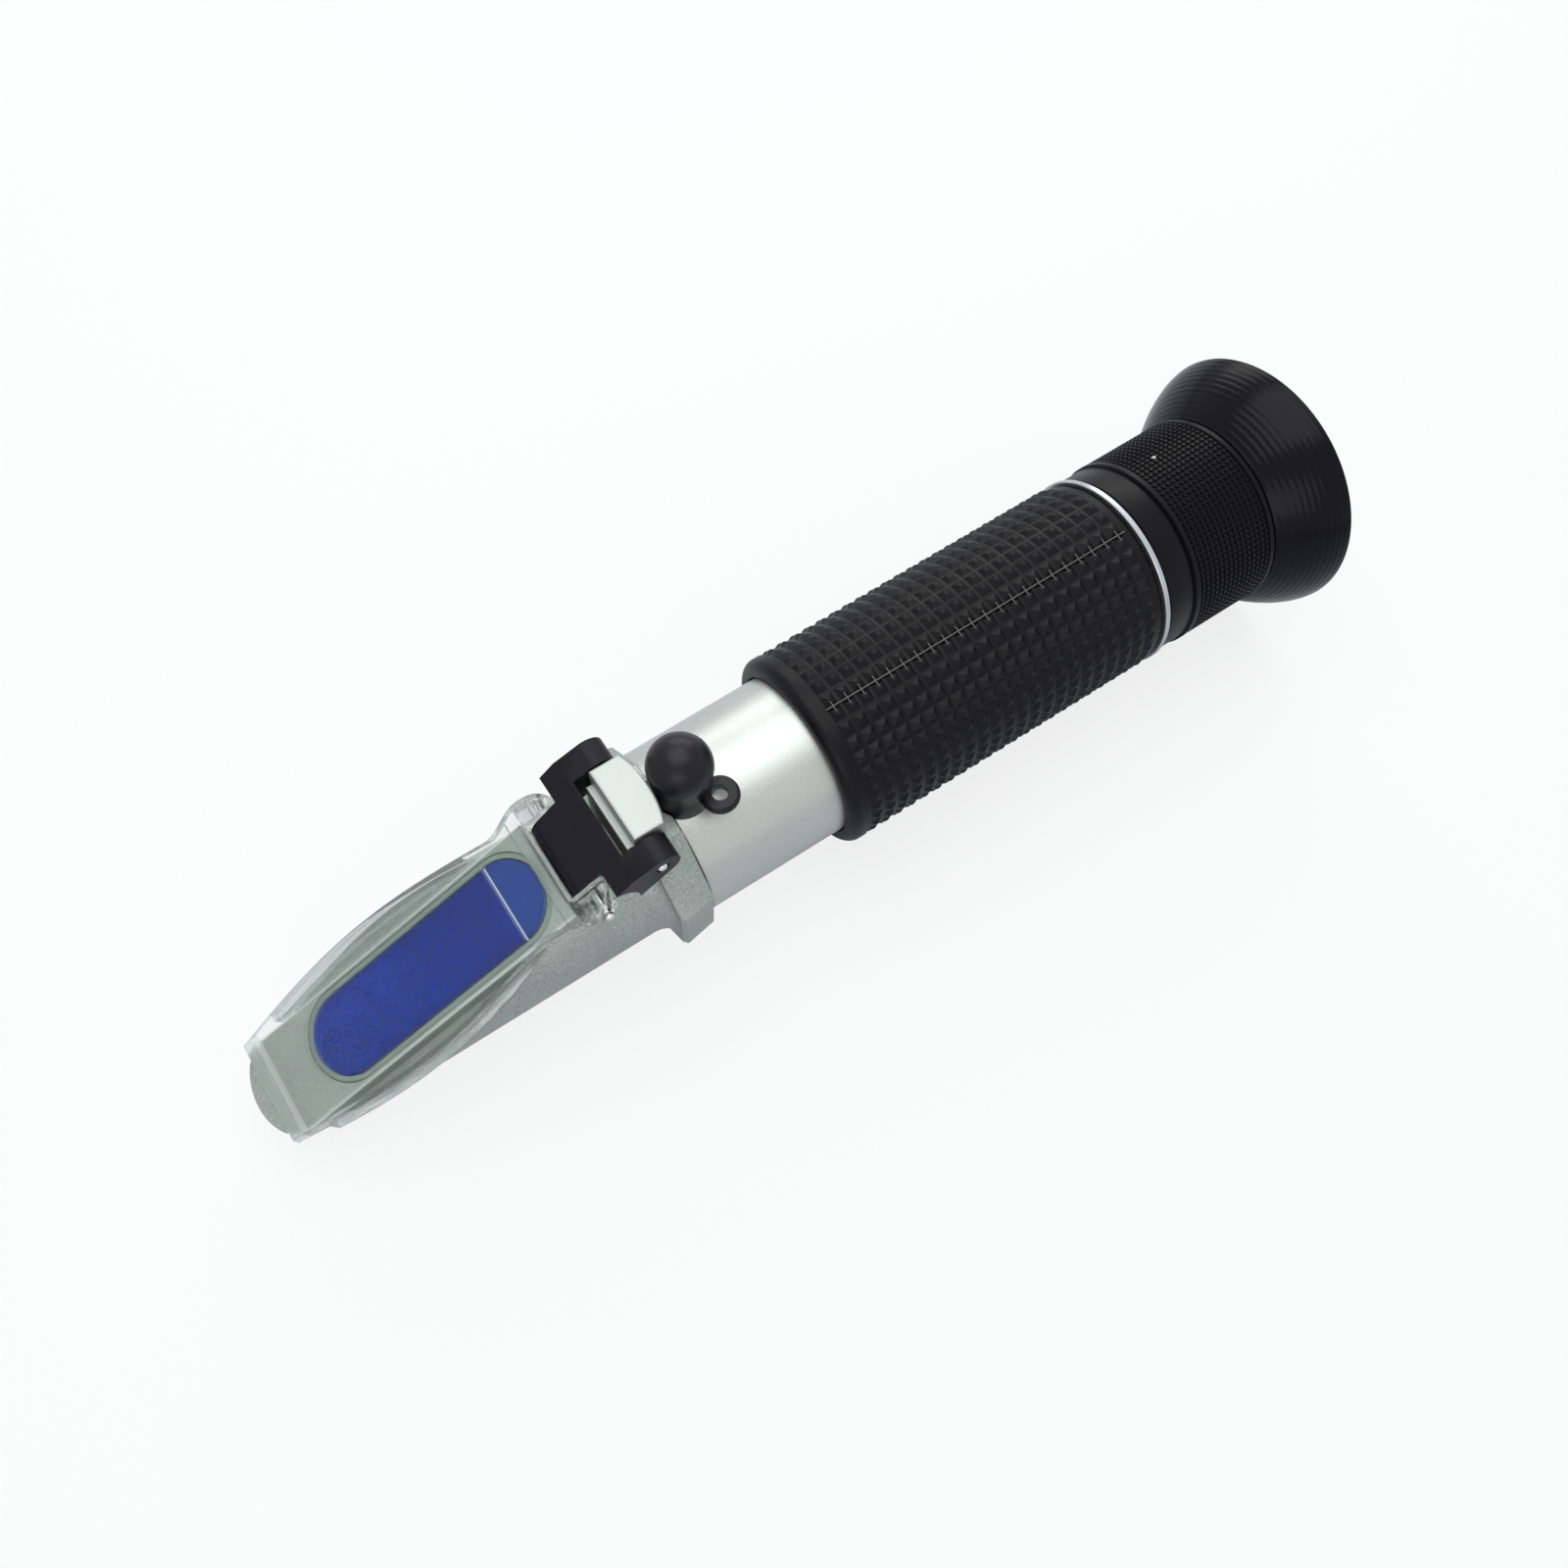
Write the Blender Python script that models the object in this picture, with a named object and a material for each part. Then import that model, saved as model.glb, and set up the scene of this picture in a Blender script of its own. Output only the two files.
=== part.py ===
"""Hand-held honey refractometer, built as separate pieces in metres with +Z up.

X runs along the optical axis toward the eye, Y across and Z up. The origin is the centre of the
flat foot under the flange, and the optical axis lies AXIS_HEIGHT above it.
"""
import math

import bmesh
import bpy
from mathutils import Vector

# Clearances
FIT_GAP = 0.0003
PIN_GAP = 0.00015
SEAL_GAP = 0.0001
OVERRUN = 0.002

# Facets of round pieces
LARGE_STEPS = 48
MEDIUM_STEPS = 32
SMALL_STEPS = 16
CURVE_STEPS = 12

# Flange and lug, the middle of the metal body
AXIS_HEIGHT = 0.0145
FLANGE_LENGTH = 0.0054
FLANGE_HALF_WIDTH = 0.0140
FLANGE_DRAFT = 0.0008
FLANGE_CHAMFER = 0.0006
FLANGE_SIDE_HALF_HEIGHT = 0.0055
FLANGE_TOP = 0.0140
FOOT_HALF_WIDTH = 0.0055
LUG_HALF_WIDTH = 0.0056
LUG_TOP = 0.0204
LUG_FRONT = 0.0042
LUG_REAR = 0.0014
LUG_REAR_ROUND = 0.0147
LUG_BEVEL = 0.0004
LEDGE_DEPTH = 0.0010
LEDGE_TOP = 0.0172

# Prism box
BOX_RADIUS = 0.0111
BOX_REACH = 0.0651
NOSE_LENGTH = 0.0069
NOSE_HALF_WIDTH = 0.0084
NOSE_ROUND = 0.0012
FLARE_LENGTH = 0.0030
FLARE_RADIUS = 0.0131
TUNNEL_RADIUS = 0.0055
TUNNEL_REACH = 0.0300
CHAMBER_RADIUS = 0.0090
CHAMBER_REACH = 0.0050
SPIGOT_LENGTH = 0.0083
RECESS_FLOOR = 0.0092

# Hinge pins, placed forward of the flange's centre and above the optical axis
LUG_PIN_FORWARD = 0.0026
LUG_PIN_HEIGHT = 0.0174
LUG_PIN_RADIUS = 0.0008
PLATE_PIN_FORWARD = 0.0111
PLATE_PIN_HEIGHT = 0.0123
PLATE_PIN_RADIUS = 0.00062
PLATE_PIN_FAR_END = 0.0093
PLATE_PIN_NEAR_END = 0.0104
PIN_BALL_RADIUS = 0.0007
PIN_BALL_LENGTH = 0.0010

# Sloping prism face: its height over the plate pin, and distances down the slope from that pin
FACE_SLOPE = math.radians(24.16)
FACE_OVER_PIN = 0.0014
TABLE_REAR = 0.00332
TABLE_HALF_WIDTH = 0.0074
TABLE_DEPTH = 0.0045
TABLE_RAISED = 0.0180
FLANK_DEPTH = 0.0018
FLANK_FALL = 0.0004
WINDOW_REAR = 0.01072
WINDOW_FRONT = 0.04014
PRISM_HALF_WIDTH = 0.0059
PRISM_DEPTH = 0.0045
SEAL_WIDTH = 0.0008
SEAL_DEPTH = 0.0020

# Daylight plate
SHEET_THICKNESS = 0.00175
FILM_GAP = 0.0003
SKIRT_DEPTH = 0.0015
SKIRT_WALL = 0.0009
SKIRT_FLARE = 0.0009
SKIRT_REAR = 0.0125
SKIRT_FRONT = 0.0495
PLATE_FRONT = 0.0547
PLATE_FRONT_HALF = 0.00765
PLATE_WIDEST = 0.0312
PLATE_WIDEST_HALF = 0.01045
PLATE_NECK = 0.00766
PLATE_NECK_HALF = 0.00785
PLATE_EAR = 0.00163
PLATE_EAR_HALF = 0.00950
PLATE_SHEET_REAR = 0.00240
EAR_INNER = 0.0060
EAR_FRONT = 0.0029
EAR_END = 0.00297
EAR_END_HALF = 0.0064
EAR_BOSS_RADIUS = 0.0019
EAR_BOSS_ARC = (200, 320)

# Cover link
KNUCKLE_RADIUS = 0.0026
TONGUE_HALF_WIDTH = 0.00566
ARM_INNER = 0.00595
WING_HALF_WIDTH = 0.0097
LINK_BACK = 0.00375
LINK_CREST_FORWARD = 0.0046
LINK_CREST_HEIGHT = 0.0013

# Body tube and grip
TUBE_RADIUS = 0.0125
TUBE_WALL = 0.0010
TUBE_VISIBLE = 0.0220
GRIP_LENGTH = 0.0546
GRIP_RADIUS = 0.0150
GRIP_COLLAR_ROUND = 0.0016

# Calibration screw under its cap
SCREW_X = 0.0059
BUSH_RADIUS = 0.0019
BUSH_COLLAR_RADIUS = 0.0030
BUSH_COLLAR_HEIGHT = 0.0015
ADJUSTER_RADIUS = 0.0012
ADJUSTER_HEAD_RADIUS = 0.0020
ADJUSTER_HEAD_HEIGHT = 0.0015
ADJUSTER_SLOT_WIDTH = 0.0006
ADJUSTER_SLOT_DEPTH = 0.0007
CAP_RADIUS = 0.0042
CAP_WALL = 0.0009
CAP_SHOULDER = 0.0210
CAP_TOP = 0.0245
CAP_HOLLOW = 0.0075
CAP_DOME_TURN = math.radians(76)
TAB_REACH = 0.0056
TAB_RADIUS = 0.0027
TAB_HOLE_RADIUS = 0.0011
TAB_UNDERSIDE = 0.0142
TAB_THICKNESS = 0.0016
TAB_ANGLE = math.radians(-52)
SET_SCREW_RADIUS = 0.0010
SET_SCREW_LENGTH = 0.0020
SET_SCREW_ANGLE = math.radians(120)

# Temperature compensator
STRIP_HEIGHT = 0.0080
STRIP_THICKNESS = 0.0006
STRIP_WIDTH = 0.0050
STRIP_FRONT = 0.0037
STRIP_REACH = 0.0260
STRIP_SCREW_X = -0.0019
STRIP_SCREW_SPACING = 0.0026
STRIP_SCREW_RADIUS = 0.0006
STRIP_SCREW_HEAD = 0.0011
STRIP_SCREW_HEAD_HEIGHT = 0.0007
STRIP_SCREW_DEPTH = 0.0022
CELL_FRONT = 0.0235
CELL_LENGTH = 0.0060
CELL_WALL = 0.0014
CELL_LIP = 0.0008
LENS_THICKNESS = 0.0030
LENS_BULGE = 0.0008
STOP_THICKNESS = 0.0006
STOP_HOLE_RADIUS = 0.0040

# Reticle, placed back from the grip's rear end
RETICLE_SETBACK = 0.0136
RETICLE_LENGTH = 0.0060
RETICLE_SHOULDER = 0.0015
RETICLE_BORE = 0.0080
RETICLE_GLASS_RADIUS = 0.0093
RETICLE_GLASS_THICKNESS = 0.0015
RETICLE_RING_LENGTH = 0.0018

# Eyepiece, placed from the trim ring's front
TRIM_LENGTH = 0.0008
EYE_BUSH_PLUG = 0.0056
EYE_BUSH_NECK_RADIUS = 0.0120
EYE_BUSH_NECK_LENGTH = 0.0141
BARREL_RADIUS = 0.0100
BARREL_WALL = 0.0010
BARREL_SETBACK = 0.0041
BARREL_LENGTH = 0.0160
BARREL_COLLAR_RADIUS = 0.0112
BARREL_COLLAR_LENGTH = 0.0025
BARREL_LIP = 0.0012
EYE_LENS_THICKNESS = 0.0030
SPACER_LENGTH = 0.0052
SPACER_WALL = 0.0009
LENS_RING_LENGTH = 0.0015
GUIDE_SCREW_SETBACK = 0.0081
GUIDE_SCREW_RADIUS = 0.0008
FOCUS_TRAVEL = 0.0025
RING_LENGTH = 0.0193
RING_RADIUS = 0.0149
RING_BAND_RADIUS = 0.0146
RING_BAND_LENGTH = 0.0045
RING_WEB = 0.0018
RING_SPIGOT_RADIUS = 0.0128
RING_SPIGOT_LENGTH = 0.0046
RING_SPIGOT_WALL = 0.0013
CUP_LENGTH = 0.0090
CUP_RIM_RADIUS = 0.0200
CUP_RIM_THICKNESS = 0.0007
CUP_FLANGE = 0.0010
CUP_HOLE_RADIUS = 0.0110
CUP_FLARE_SHARES = (0, 0.1, 0.2, 0.33, 0.47, 0.6, 0.75, 0.88, 1)
CUP_BOWL_SHARES = (0, 0.3, 0.6, 0.85, 1)

# Places that follow from the sizes above
FLANGE_HALF = FLANGE_LENGTH / 2
TUBE_FRONT = FLANGE_HALF + FIT_GAP
TUBE_BORE = TUBE_RADIUS - TUBE_WALL
SPIGOT_RADIUS = TUBE_BORE - FIT_GAP
SPIGOT_END = FLANGE_HALF + SPIGOT_LENGTH
GRIP_FRONT = TUBE_FRONT + TUBE_VISIBLE
GRIP_END = GRIP_FRONT + GRIP_LENGTH
GRIP_BORE = TUBE_RADIUS + FIT_GAP
RETICLE_FRONT = GRIP_END - RETICLE_SETBACK
TRIM_FRONT = GRIP_END + FIT_GAP
TRIM_END = TRIM_FRONT + TRIM_LENGTH
RING_FRONT = TRIM_END + FIT_GAP
RING_END = RING_FRONT + RING_LENGTH
RING_BORE = EYE_BUSH_NECK_RADIUS + FIT_GAP
BARREL_FRONT = TRIM_FRONT + BARREL_SETBACK
GUIDE_SCREW_X = TRIM_FRONT + GUIDE_SCREW_SETBACK
CUP_FRONT = RING_END + SEAL_GAP
CUP_END = CUP_FRONT + CUP_LENGTH
BARREL_END = BARREL_FRONT + BARREL_LENGTH
BARREL_BORE = BARREL_RADIUS - BARREL_WALL
EYE_LENS_RADIUS = BARREL_BORE - FIT_GAP
COLLAR_FRONT = BARREL_END - BARREL_COLLAR_LENGTH
SHEET_BOTTOM = FACE_OVER_PIN + FILM_GAP
SHEET_TOP = SHEET_BOTTOM + SHEET_THICKNESS
SEAL_INNER = PRISM_HALF_WIDTH + SEAL_GAP
SEAL_OUTER = SEAL_INNER + SEAL_WIDTH
POCKET_HALF_WIDTH = SEAL_OUTER + SEAL_GAP
LINK_SPAN_X = PLATE_PIN_FORWARD - LUG_PIN_FORWARD
LINK_SPAN_Z = LUG_PIN_HEIGHT - PLATE_PIN_HEIGHT
EAR_SWING = math.hypot(EAR_END, SHEET_TOP)
STRIP_BOTTOM = STRIP_HEIGHT - STRIP_THICKNESS / 2
STRIP_TOP = STRIP_HEIGHT + STRIP_THICKNESS / 2
CELL_RADIUS = STRIP_BOTTOM - FIT_GAP

# How smooth a curved piece looks, and how close points must be to count as one
SMOOTH_ANGLE = math.radians(35)
MERGE = 0.000002


def clear_scene():
    """Remove what the scene holds."""
    for obj in list(bpy.data.objects):
        bpy.data.objects.remove(obj, do_unlink=True)


def carrier(name, place, parent=None, slope=0.0):
    """Add an empty that carries pieces: a fixed frame, or the axis of a joint."""
    empty = bpy.data.objects.new(name, None)
    bpy.context.collection.objects.link(empty)
    empty.location = place
    empty.rotation_euler = (0, -slope, 0)
    empty.parent = parent
    return empty


def finish(name, colour, roughness, metallic=0.0, clear=0.0):
    """Make a material from a colour, its roughness and how metallic and clear it is."""
    made = bpy.data.materials.new(name)
    made.use_nodes = True
    shader = made.node_tree.nodes["Principled BSDF"]
    shader.inputs["Base Color"].default_value = (*colour, 1)
    shader.inputs["Roughness"].default_value = roughness
    shader.inputs["Metallic"].default_value = metallic
    shader.inputs["Transmission Weight"].default_value = clear
    return made


def piece(name, bm, parent, look=None):
    """Turn a bmesh into an object. One without a look only cuts or joins others."""
    bmesh.ops.remove_doubles(bm, verts=bm.verts, dist=MERGE)
    bmesh.ops.recalc_face_normals(bm, faces=bm.faces)
    mesh = bpy.data.meshes.new(name)
    bm.to_mesh(mesh)
    bm.free()
    mesh.shade_smooth()
    mesh.set_sharp_from_angle(angle=SMOOTH_ANGLE)
    obj = bpy.data.objects.new(name, mesh)
    bpy.context.collection.objects.link(obj)
    obj.parent = parent
    if look:
        mesh.materials.append(look)
    else:
        obj.hide_render = True
        obj.display_type = "WIRE"
    return obj


def combine(target, other, operation):
    """Cut a shape out of the target, or join it on."""
    boolean = target.modifiers.new(other.name, "BOOLEAN")
    boolean.operation = operation
    boolean.solver = "EXACT"
    boolean.object = other


def cut(target, *cutters):
    """Cut each shape out of the target."""
    for cutter in cutters:
        combine(target, cutter, "DIFFERENCE")


def join(target, *shapes):
    """Join each shape onto the target."""
    for shape in shapes:
        combine(target, shape, "UNION")


def loft(loops, bm=None):
    """Close outlines of equal point counts into a solid with flat ends."""
    bm = bm or bmesh.new()
    rows = [[bm.verts.new(point) for point in loop] for loop in loops]
    for lower, upper in zip(rows, rows[1:]):
        for i in range(len(lower)):
            j = (i + 1) % len(lower)
            bm.faces.new((lower[i], lower[j], upper[j], upper[i]))
    bm.faces.new(rows[0][::-1])
    bm.faces.new(rows[-1])
    return bm


def turned(outline, steps):
    """Spin a closed outline of (x, radius) points round the X axis."""
    bm = bmesh.new()
    points = [bm.verts.new((x, 0, radius)) for x, radius in outline]
    edges = []
    for first, second in zip(points, points[1:] + points[:1]):
        if first.co.z or second.co.z:
            edges.append(bm.edges.new((first, second)))
    whole_turn = 2 * math.pi
    bmesh.ops.spin(bm, geom=points + edges, cent=(0, 0, 0), axis=(1, 0, 0), dvec=(0, 0, 0),
                   angle=whole_turn, steps=steps, use_merge=True)
    return bm


def ring(front, end, outer, inner, steps=LARGE_STEPS):
    """A plain ring on the X axis."""
    return turned([(front, outer), (end, outer), (end, inner), (front, inner)], steps)


def rod(start, direction, sections, steps=SMALL_STEPS, bm=None):
    """A round solid from a start point along a direction, through (distance, radius) sections."""
    along = Vector(direction).normalized()
    side = along.orthogonal().normalized()
    other = along.cross(side)
    loops = []
    for distance, radius in sections:
        centre = Vector(start) + along * distance
        angles = [2 * math.pi * i / steps for i in range(steps)]
        loops.append([centre + (side * math.cos(a) + other * math.sin(a)) * radius for a in angles])
    return loft(loops, bm)


def across(outline, near, far, bm=None):
    """Extrude an (x, z) outline from one Y to another."""
    return loft([[(x, near, z) for x, z in outline], [(x, far, z) for x, z in outline]], bm)


def upright(outline, low, high, bm=None):
    """Extrude an (x, y) outline from one Z to another."""
    return loft([[(x, y, low) for x, y in outline], [(x, y, high) for x, y in outline]], bm)


def block(front, end, half_width, low, high, bm=None):
    """A box that is centred across."""
    return upright([(front, -half_width), (end, -half_width), (end, half_width),
                    (front, half_width)], low, high, bm)


def arc(centre, radius, first, last, steps=CURVE_STEPS):
    """Points along an arc between two angles in degrees."""
    points = []
    for i in range(steps + 1):
        angle = math.radians(first + (last - first) * i / steps)
        points.append((centre[0] + radius * math.cos(angle), centre[1] + radius * math.sin(angle)))
    return points


def stadium(half_width, rear, front):
    """Plan outline with round ends, given down the sloping face from the plate pin."""
    rear_end = arc((-rear, 0), half_width, -90, 90)
    front_end = arc((-front, 0), half_width, 90, 270)
    return rear_end + front_end


def mirrored(outline):
    """Complete a half outline with its mirror image across the X axis."""
    return outline + [(x, -y) for x, y in reversed(outline)]


def slope_point(down, lift):
    """Place on the side view, at a distance down the prism face and a lift above it."""
    height = FACE_OVER_PIN + lift
    x = -PLATE_PIN_FORWARD - down * math.cos(FACE_SLOPE) - height * math.sin(FACE_SLOPE)
    z = PLATE_PIN_HEIGHT - down * math.sin(FACE_SLOPE) + height * math.cos(FACE_SLOPE)
    return x, z


def lens_outline(front, radius, thickness):
    """Half section of a lens with two bulging faces."""
    shares = [i / 4 for i in range(5)]
    face = [(front + LENS_BULGE * share ** 2, radius * share) for share in shares]
    back = [(front + thickness - LENS_BULGE * share ** 2, radius * share) for share in shares]
    return face + back[::-1]


def box_outline():
    """Half section of the metal body: nose, box, flare and the spigot inside the tube."""
    round_centre = (NOSE_ROUND - BOX_REACH, BOX_RADIUS - NOSE_ROUND)
    nose = [(-BOX_REACH, 0)] + arc(round_centre, NOSE_ROUND, 180, 90, 3)
    flare = []
    for i in range(5):
        angle = math.radians(90 * i / 4)
        x = -FLANGE_HALF - FLARE_LENGTH * (1 - math.sin(angle))
        flare.append((x, BOX_RADIUS + (FLARE_RADIUS - BOX_RADIUS) * (1 - math.cos(angle))))
    spigot = [(0, FLARE_RADIUS), (0, SPIGOT_RADIUS), (SPIGOT_END, SPIGOT_RADIUS), (SPIGOT_END, 0)]
    return nose + flare + spigot


def flange_loop(x, inset, draft):
    """Eight-sided outline of the flange at one place along the axis."""
    half = FLANGE_HALF_WIDTH - inset - draft
    side = FLANGE_SIDE_HALF_HEIGHT
    top = FLANGE_TOP - inset
    foot = inset - AXIS_HEIGHT
    right = [(-FOOT_HALF_WIDTH, foot), (-half, -side), (-half, side), (-LUG_HALF_WIDTH, top)]
    return [(x, y, z) for y, z in right] + [(x, -y, z) for y, z in reversed(right)]


def flange_shape(parent):
    """Eight-sided flange with a chamfer in front and a little draft behind."""
    loops = [flange_loop(-FLANGE_HALF, FLANGE_CHAMFER, 0),
             flange_loop(FLANGE_CHAMFER - FLANGE_HALF, 0, 0),
             flange_loop(FLANGE_HALF, 0, FLANGE_DRAFT)]
    return piece("flange_shape", loft(loops), parent)


def lug_loop(z, inset):
    """Plan outline of the lug, flat in front and rounded behind."""
    half = LUG_HALF_WIDTH - inset
    radius = LUG_REAR_ROUND - inset
    spread = math.degrees(math.asin(half / radius))
    rear = arc((LUG_REAR - LUG_REAR_ROUND, 0), radius, -spread, spread, 6)
    front = inset - LUG_FRONT
    return [(x, y, z) for x, y in rear + [(front, half), (front, -half)]]


def lug_shape(parent):
    """Hinge lug on top of the flange, with a bevelled top."""
    root = BOX_RADIUS - OVERRUN
    loops = [lug_loop(root, 0), lug_loop(LUG_TOP - LUG_BEVEL, 0), lug_loop(LUG_TOP, LUG_BEVEL)]
    return piece("lug_shape", loft(loops), parent)


def ledge_shape(parent):
    """Low step in front of the lug."""
    front = -LUG_FRONT - LEDGE_DEPTH
    half = LUG_HALF_WIDTH - LUG_BEVEL
    return piece("ledge_shape", block(front, FIT_GAP - LUG_FRONT, half,
                                      BOX_RADIUS - OVERRUN - FIT_GAP, LEDGE_TOP), parent)


def table_shape(face):
    """Raised end of the table, wide enough for the prism's rear end."""
    low = FACE_OVER_PIN - TABLE_DEPTH
    return piece("table_shape", block(-TABLE_RAISED, FIT_GAP - TABLE_REAR, TABLE_HALF_WIDTH,
                                      low, FACE_OVER_PIN + OVERRUN), face)


def face_cutter(parent):
    """Everything above the sloping face and above the floor of the recess behind it."""
    far = BOX_REACH / math.cos(FACE_SLOPE)
    corner = slope_point(TABLE_REAR, 0)
    foot = (corner[0] + (corner[1] - RECESS_FLOOR) * math.tan(FACE_SLOPE), RECESS_FLOOR)
    rear = -LUG_FRONT - LEDGE_DEPTH - FIT_GAP
    top = LUG_TOP + OVERRUN
    outline = [slope_point(far, 0), corner, foot, (rear, RECESS_FLOOR), (rear, top),
               (slope_point(far, 0)[0], top)]
    reach = BOX_RADIUS + OVERRUN
    return piece("face_cutter", across(outline, -reach, reach), parent)


def flank_cutter(face):
    """Steps the metal down on both sides of the table."""
    bm = bmesh.new()
    top = FACE_OVER_PIN + OVERRUN
    low = FACE_OVER_PIN - FLANK_DEPTH
    wide = BOX_RADIUS + OVERRUN
    for side in (-1, 1):
        section = [(TABLE_HALF_WIDTH, top), (TABLE_HALF_WIDTH, FACE_OVER_PIN),
                   (TABLE_HALF_WIDTH + FLANK_FALL, low), (wide, low), (wide, top)]
        loops = [[(x, side * y, z) for y, z in section] for x in (-BOX_REACH, 0)]
        loft(loops, bm)
    return piece("flank_cutter", bm, face)


def nose_cutter(parent):
    """Rounds the nose in plan."""
    centre = NOSE_LENGTH - BOX_REACH
    front = -BOX_REACH - OVERRUN
    wide = BOX_RADIUS + OVERRUN
    curve = []
    for i in range(CURVE_STEPS + 1):
        angle = math.radians(-90 + 180 * i / CURVE_STEPS)
        curve.append((centre - NOSE_LENGTH * math.cos(angle), NOSE_HALF_WIDTH * math.sin(angle)))
    outline = [(front, -wide), (centre, -wide)] + curve + [(centre, wide), (front, wide)]
    return piece("nose_cutter", upright(outline, -wide, wide), parent)


def light_path_cutter(parent):
    """Tunnel behind the prism, and the wider chamber for the compensator."""
    end = SPIGOT_END + OVERRUN
    outline = [(-TUNNEL_REACH, 0), (-TUNNEL_REACH, TUNNEL_RADIUS), (-CHAMBER_REACH, TUNNEL_RADIUS),
               (-CHAMBER_REACH, CHAMBER_RADIUS), (end, CHAMBER_RADIUS), (end, 0)]
    return piece("light_path_cutter", turned(outline, MEDIUM_STEPS), parent)


def pocket_cutter(face):
    """Pocket for the prism and its seal."""
    outline = stadium(POCKET_HALF_WIDTH, WINDOW_REAR, WINDOW_FRONT)
    low = FACE_OVER_PIN - PRISM_DEPTH - FIT_GAP
    return piece("pocket_cutter", upright(outline, low, FACE_OVER_PIN + OVERRUN), face)


def pin_hole(name, x, z, radius, reach, parent):
    """A hole right across, for a hinge pin."""
    bm = rod((x, -reach, z), (0, 1, 0), [(0, radius + PIN_GAP), (2 * reach, radius + PIN_GAP)])
    return piece(name, bm, parent)


def cap_hollow_cutter(parent):
    """Round clearance in the flange, beside the calibration cap."""
    radius = CAP_RADIUS + FIT_GAP
    low = SPIGOT_RADIUS + FIT_GAP
    sections = [(0, radius), (CAP_TOP, radius)]
    return piece("cap_hollow_cutter", rod((SCREW_X, 0, low), (0, 0, 1), sections, MEDIUM_STEPS), parent)


def bush_hole(parent):
    """Hole for the calibration bush, through the tube's wall and the spigot's."""
    radius = BUSH_RADIUS + PIN_GAP
    sections = [(0, radius), (CAP_TOP, radius)]
    return piece("bush_hole", rod((SCREW_X, 0, TUNNEL_RADIUS), (0, 0, 1), sections), parent)


def set_screw_places():
    """Directions of the two set screws, seen along the axis."""
    return [(0, math.sin(side * SET_SCREW_ANGLE), math.cos(SET_SCREW_ANGLE)) for side in (-1, 1)]


def set_screw_holes(parent):
    bm = bmesh.new()
    radius = SET_SCREW_RADIUS + PIN_GAP
    for direction in set_screw_places():
        rod((SCREW_X, 0, 0), direction, [(CHAMBER_RADIUS - FIT_GAP, radius), (GRIP_RADIUS, radius)], bm=bm)
    return piece("set_screw_holes", bm, parent)


def strip_screw(side, head_height, radius, head_radius, depth):
    """One of the two screws that hold the strip up against the body, side by side."""
    start = (STRIP_SCREW_X, side * STRIP_SCREW_SPACING / 2, STRIP_BOTTOM - PIN_GAP - head_height)
    sections = [(0, head_radius), (head_height, head_radius), (head_height, radius),
                (head_height + depth, radius)]
    return rod(start, (0, 0, 1), sections)


def strip_screw_holes(parent):
    radius = STRIP_SCREW_RADIUS + PIN_GAP
    depth = STRIP_THICKNESS + STRIP_SCREW_DEPTH + 2 * FIT_GAP
    bm = bmesh.new()
    for side in (-1, 1):
        start = (STRIP_SCREW_X, side * STRIP_SCREW_SPACING / 2, STRIP_BOTTOM - FIT_GAP)
        rod(start, (0, 0, 1), [(0, radius), (depth, radius)], bm=bm)
    return piece("strip_screw_holes", bm, parent)


def make_prism_box(axis, face):
    """The cast metal body that everything is fixed to."""
    look = finish("box_alloy", (0.46, 0.52, 0.49), 0.38, metallic=0.9)
    box = piece("prism_box", turned(box_outline(), LARGE_STEPS), axis, look)
    join(box, table_shape(face), flange_shape(axis), ledge_shape(axis), lug_shape(axis))
    cut(box, face_cutter(axis), flank_cutter(face), nose_cutter(axis), pocket_cutter(face),
        light_path_cutter(axis), cap_hollow_cutter(axis), bush_hole(axis), set_screw_holes(axis),
        strip_screw_holes(axis))
    cut(box, pin_hole("lug_pin_hole", -LUG_PIN_FORWARD, LUG_PIN_HEIGHT, LUG_PIN_RADIUS,
                      WING_HALF_WIDTH, axis))
    return box


def make_measuring_prism(face):
    look = finish("prism_glass", (0.05, 0.10, 0.36), 0.08, clear=0.3)
    outline = stadium(PRISM_HALF_WIDTH, WINDOW_REAR, WINDOW_FRONT)
    piece("measuring_prism", upright(outline, FACE_OVER_PIN - PRISM_DEPTH, FACE_OVER_PIN), face, look)


def make_prism_seal(face):
    """Bead that seals the prism in its pocket, flush with the metal face."""
    look = finish("seal_bead", (0.36, 0.42, 0.30), 0.5)
    low = FACE_OVER_PIN - SEAL_DEPTH
    seal = piece("prism_seal", upright(stadium(SEAL_OUTER, WINDOW_REAR, WINDOW_FRONT), low,
                                       FACE_OVER_PIN), face, look)
    hole = stadium(SEAL_INNER, WINDOW_REAR, WINDOW_FRONT)
    cut(seal, piece("seal_hole", upright(hole, low - OVERRUN, FACE_OVER_PIN + OVERRUN), face))


def make_light_stop(axis):
    front = FIT_GAP - CHAMBER_REACH
    bm = ring(front, front + STOP_THICKNESS, CHAMBER_RADIUS - FIT_GAP, STOP_HOLE_RADIUS, MEDIUM_STEPS)
    piece("light_stop", bm, axis, finish("stop_black", (0.02, 0.02, 0.02), 0.8))


def make_body_tube(axis):
    look = finish("tube_metal", (0.62, 0.62, 0.60), 0.35, metallic=1.0)
    tube = piece("body_tube", ring(TUBE_FRONT, GRIP_END, TUBE_RADIUS, TUBE_BORE), axis, look)
    cut(tube, bush_hole(axis), set_screw_holes(axis))


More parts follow.
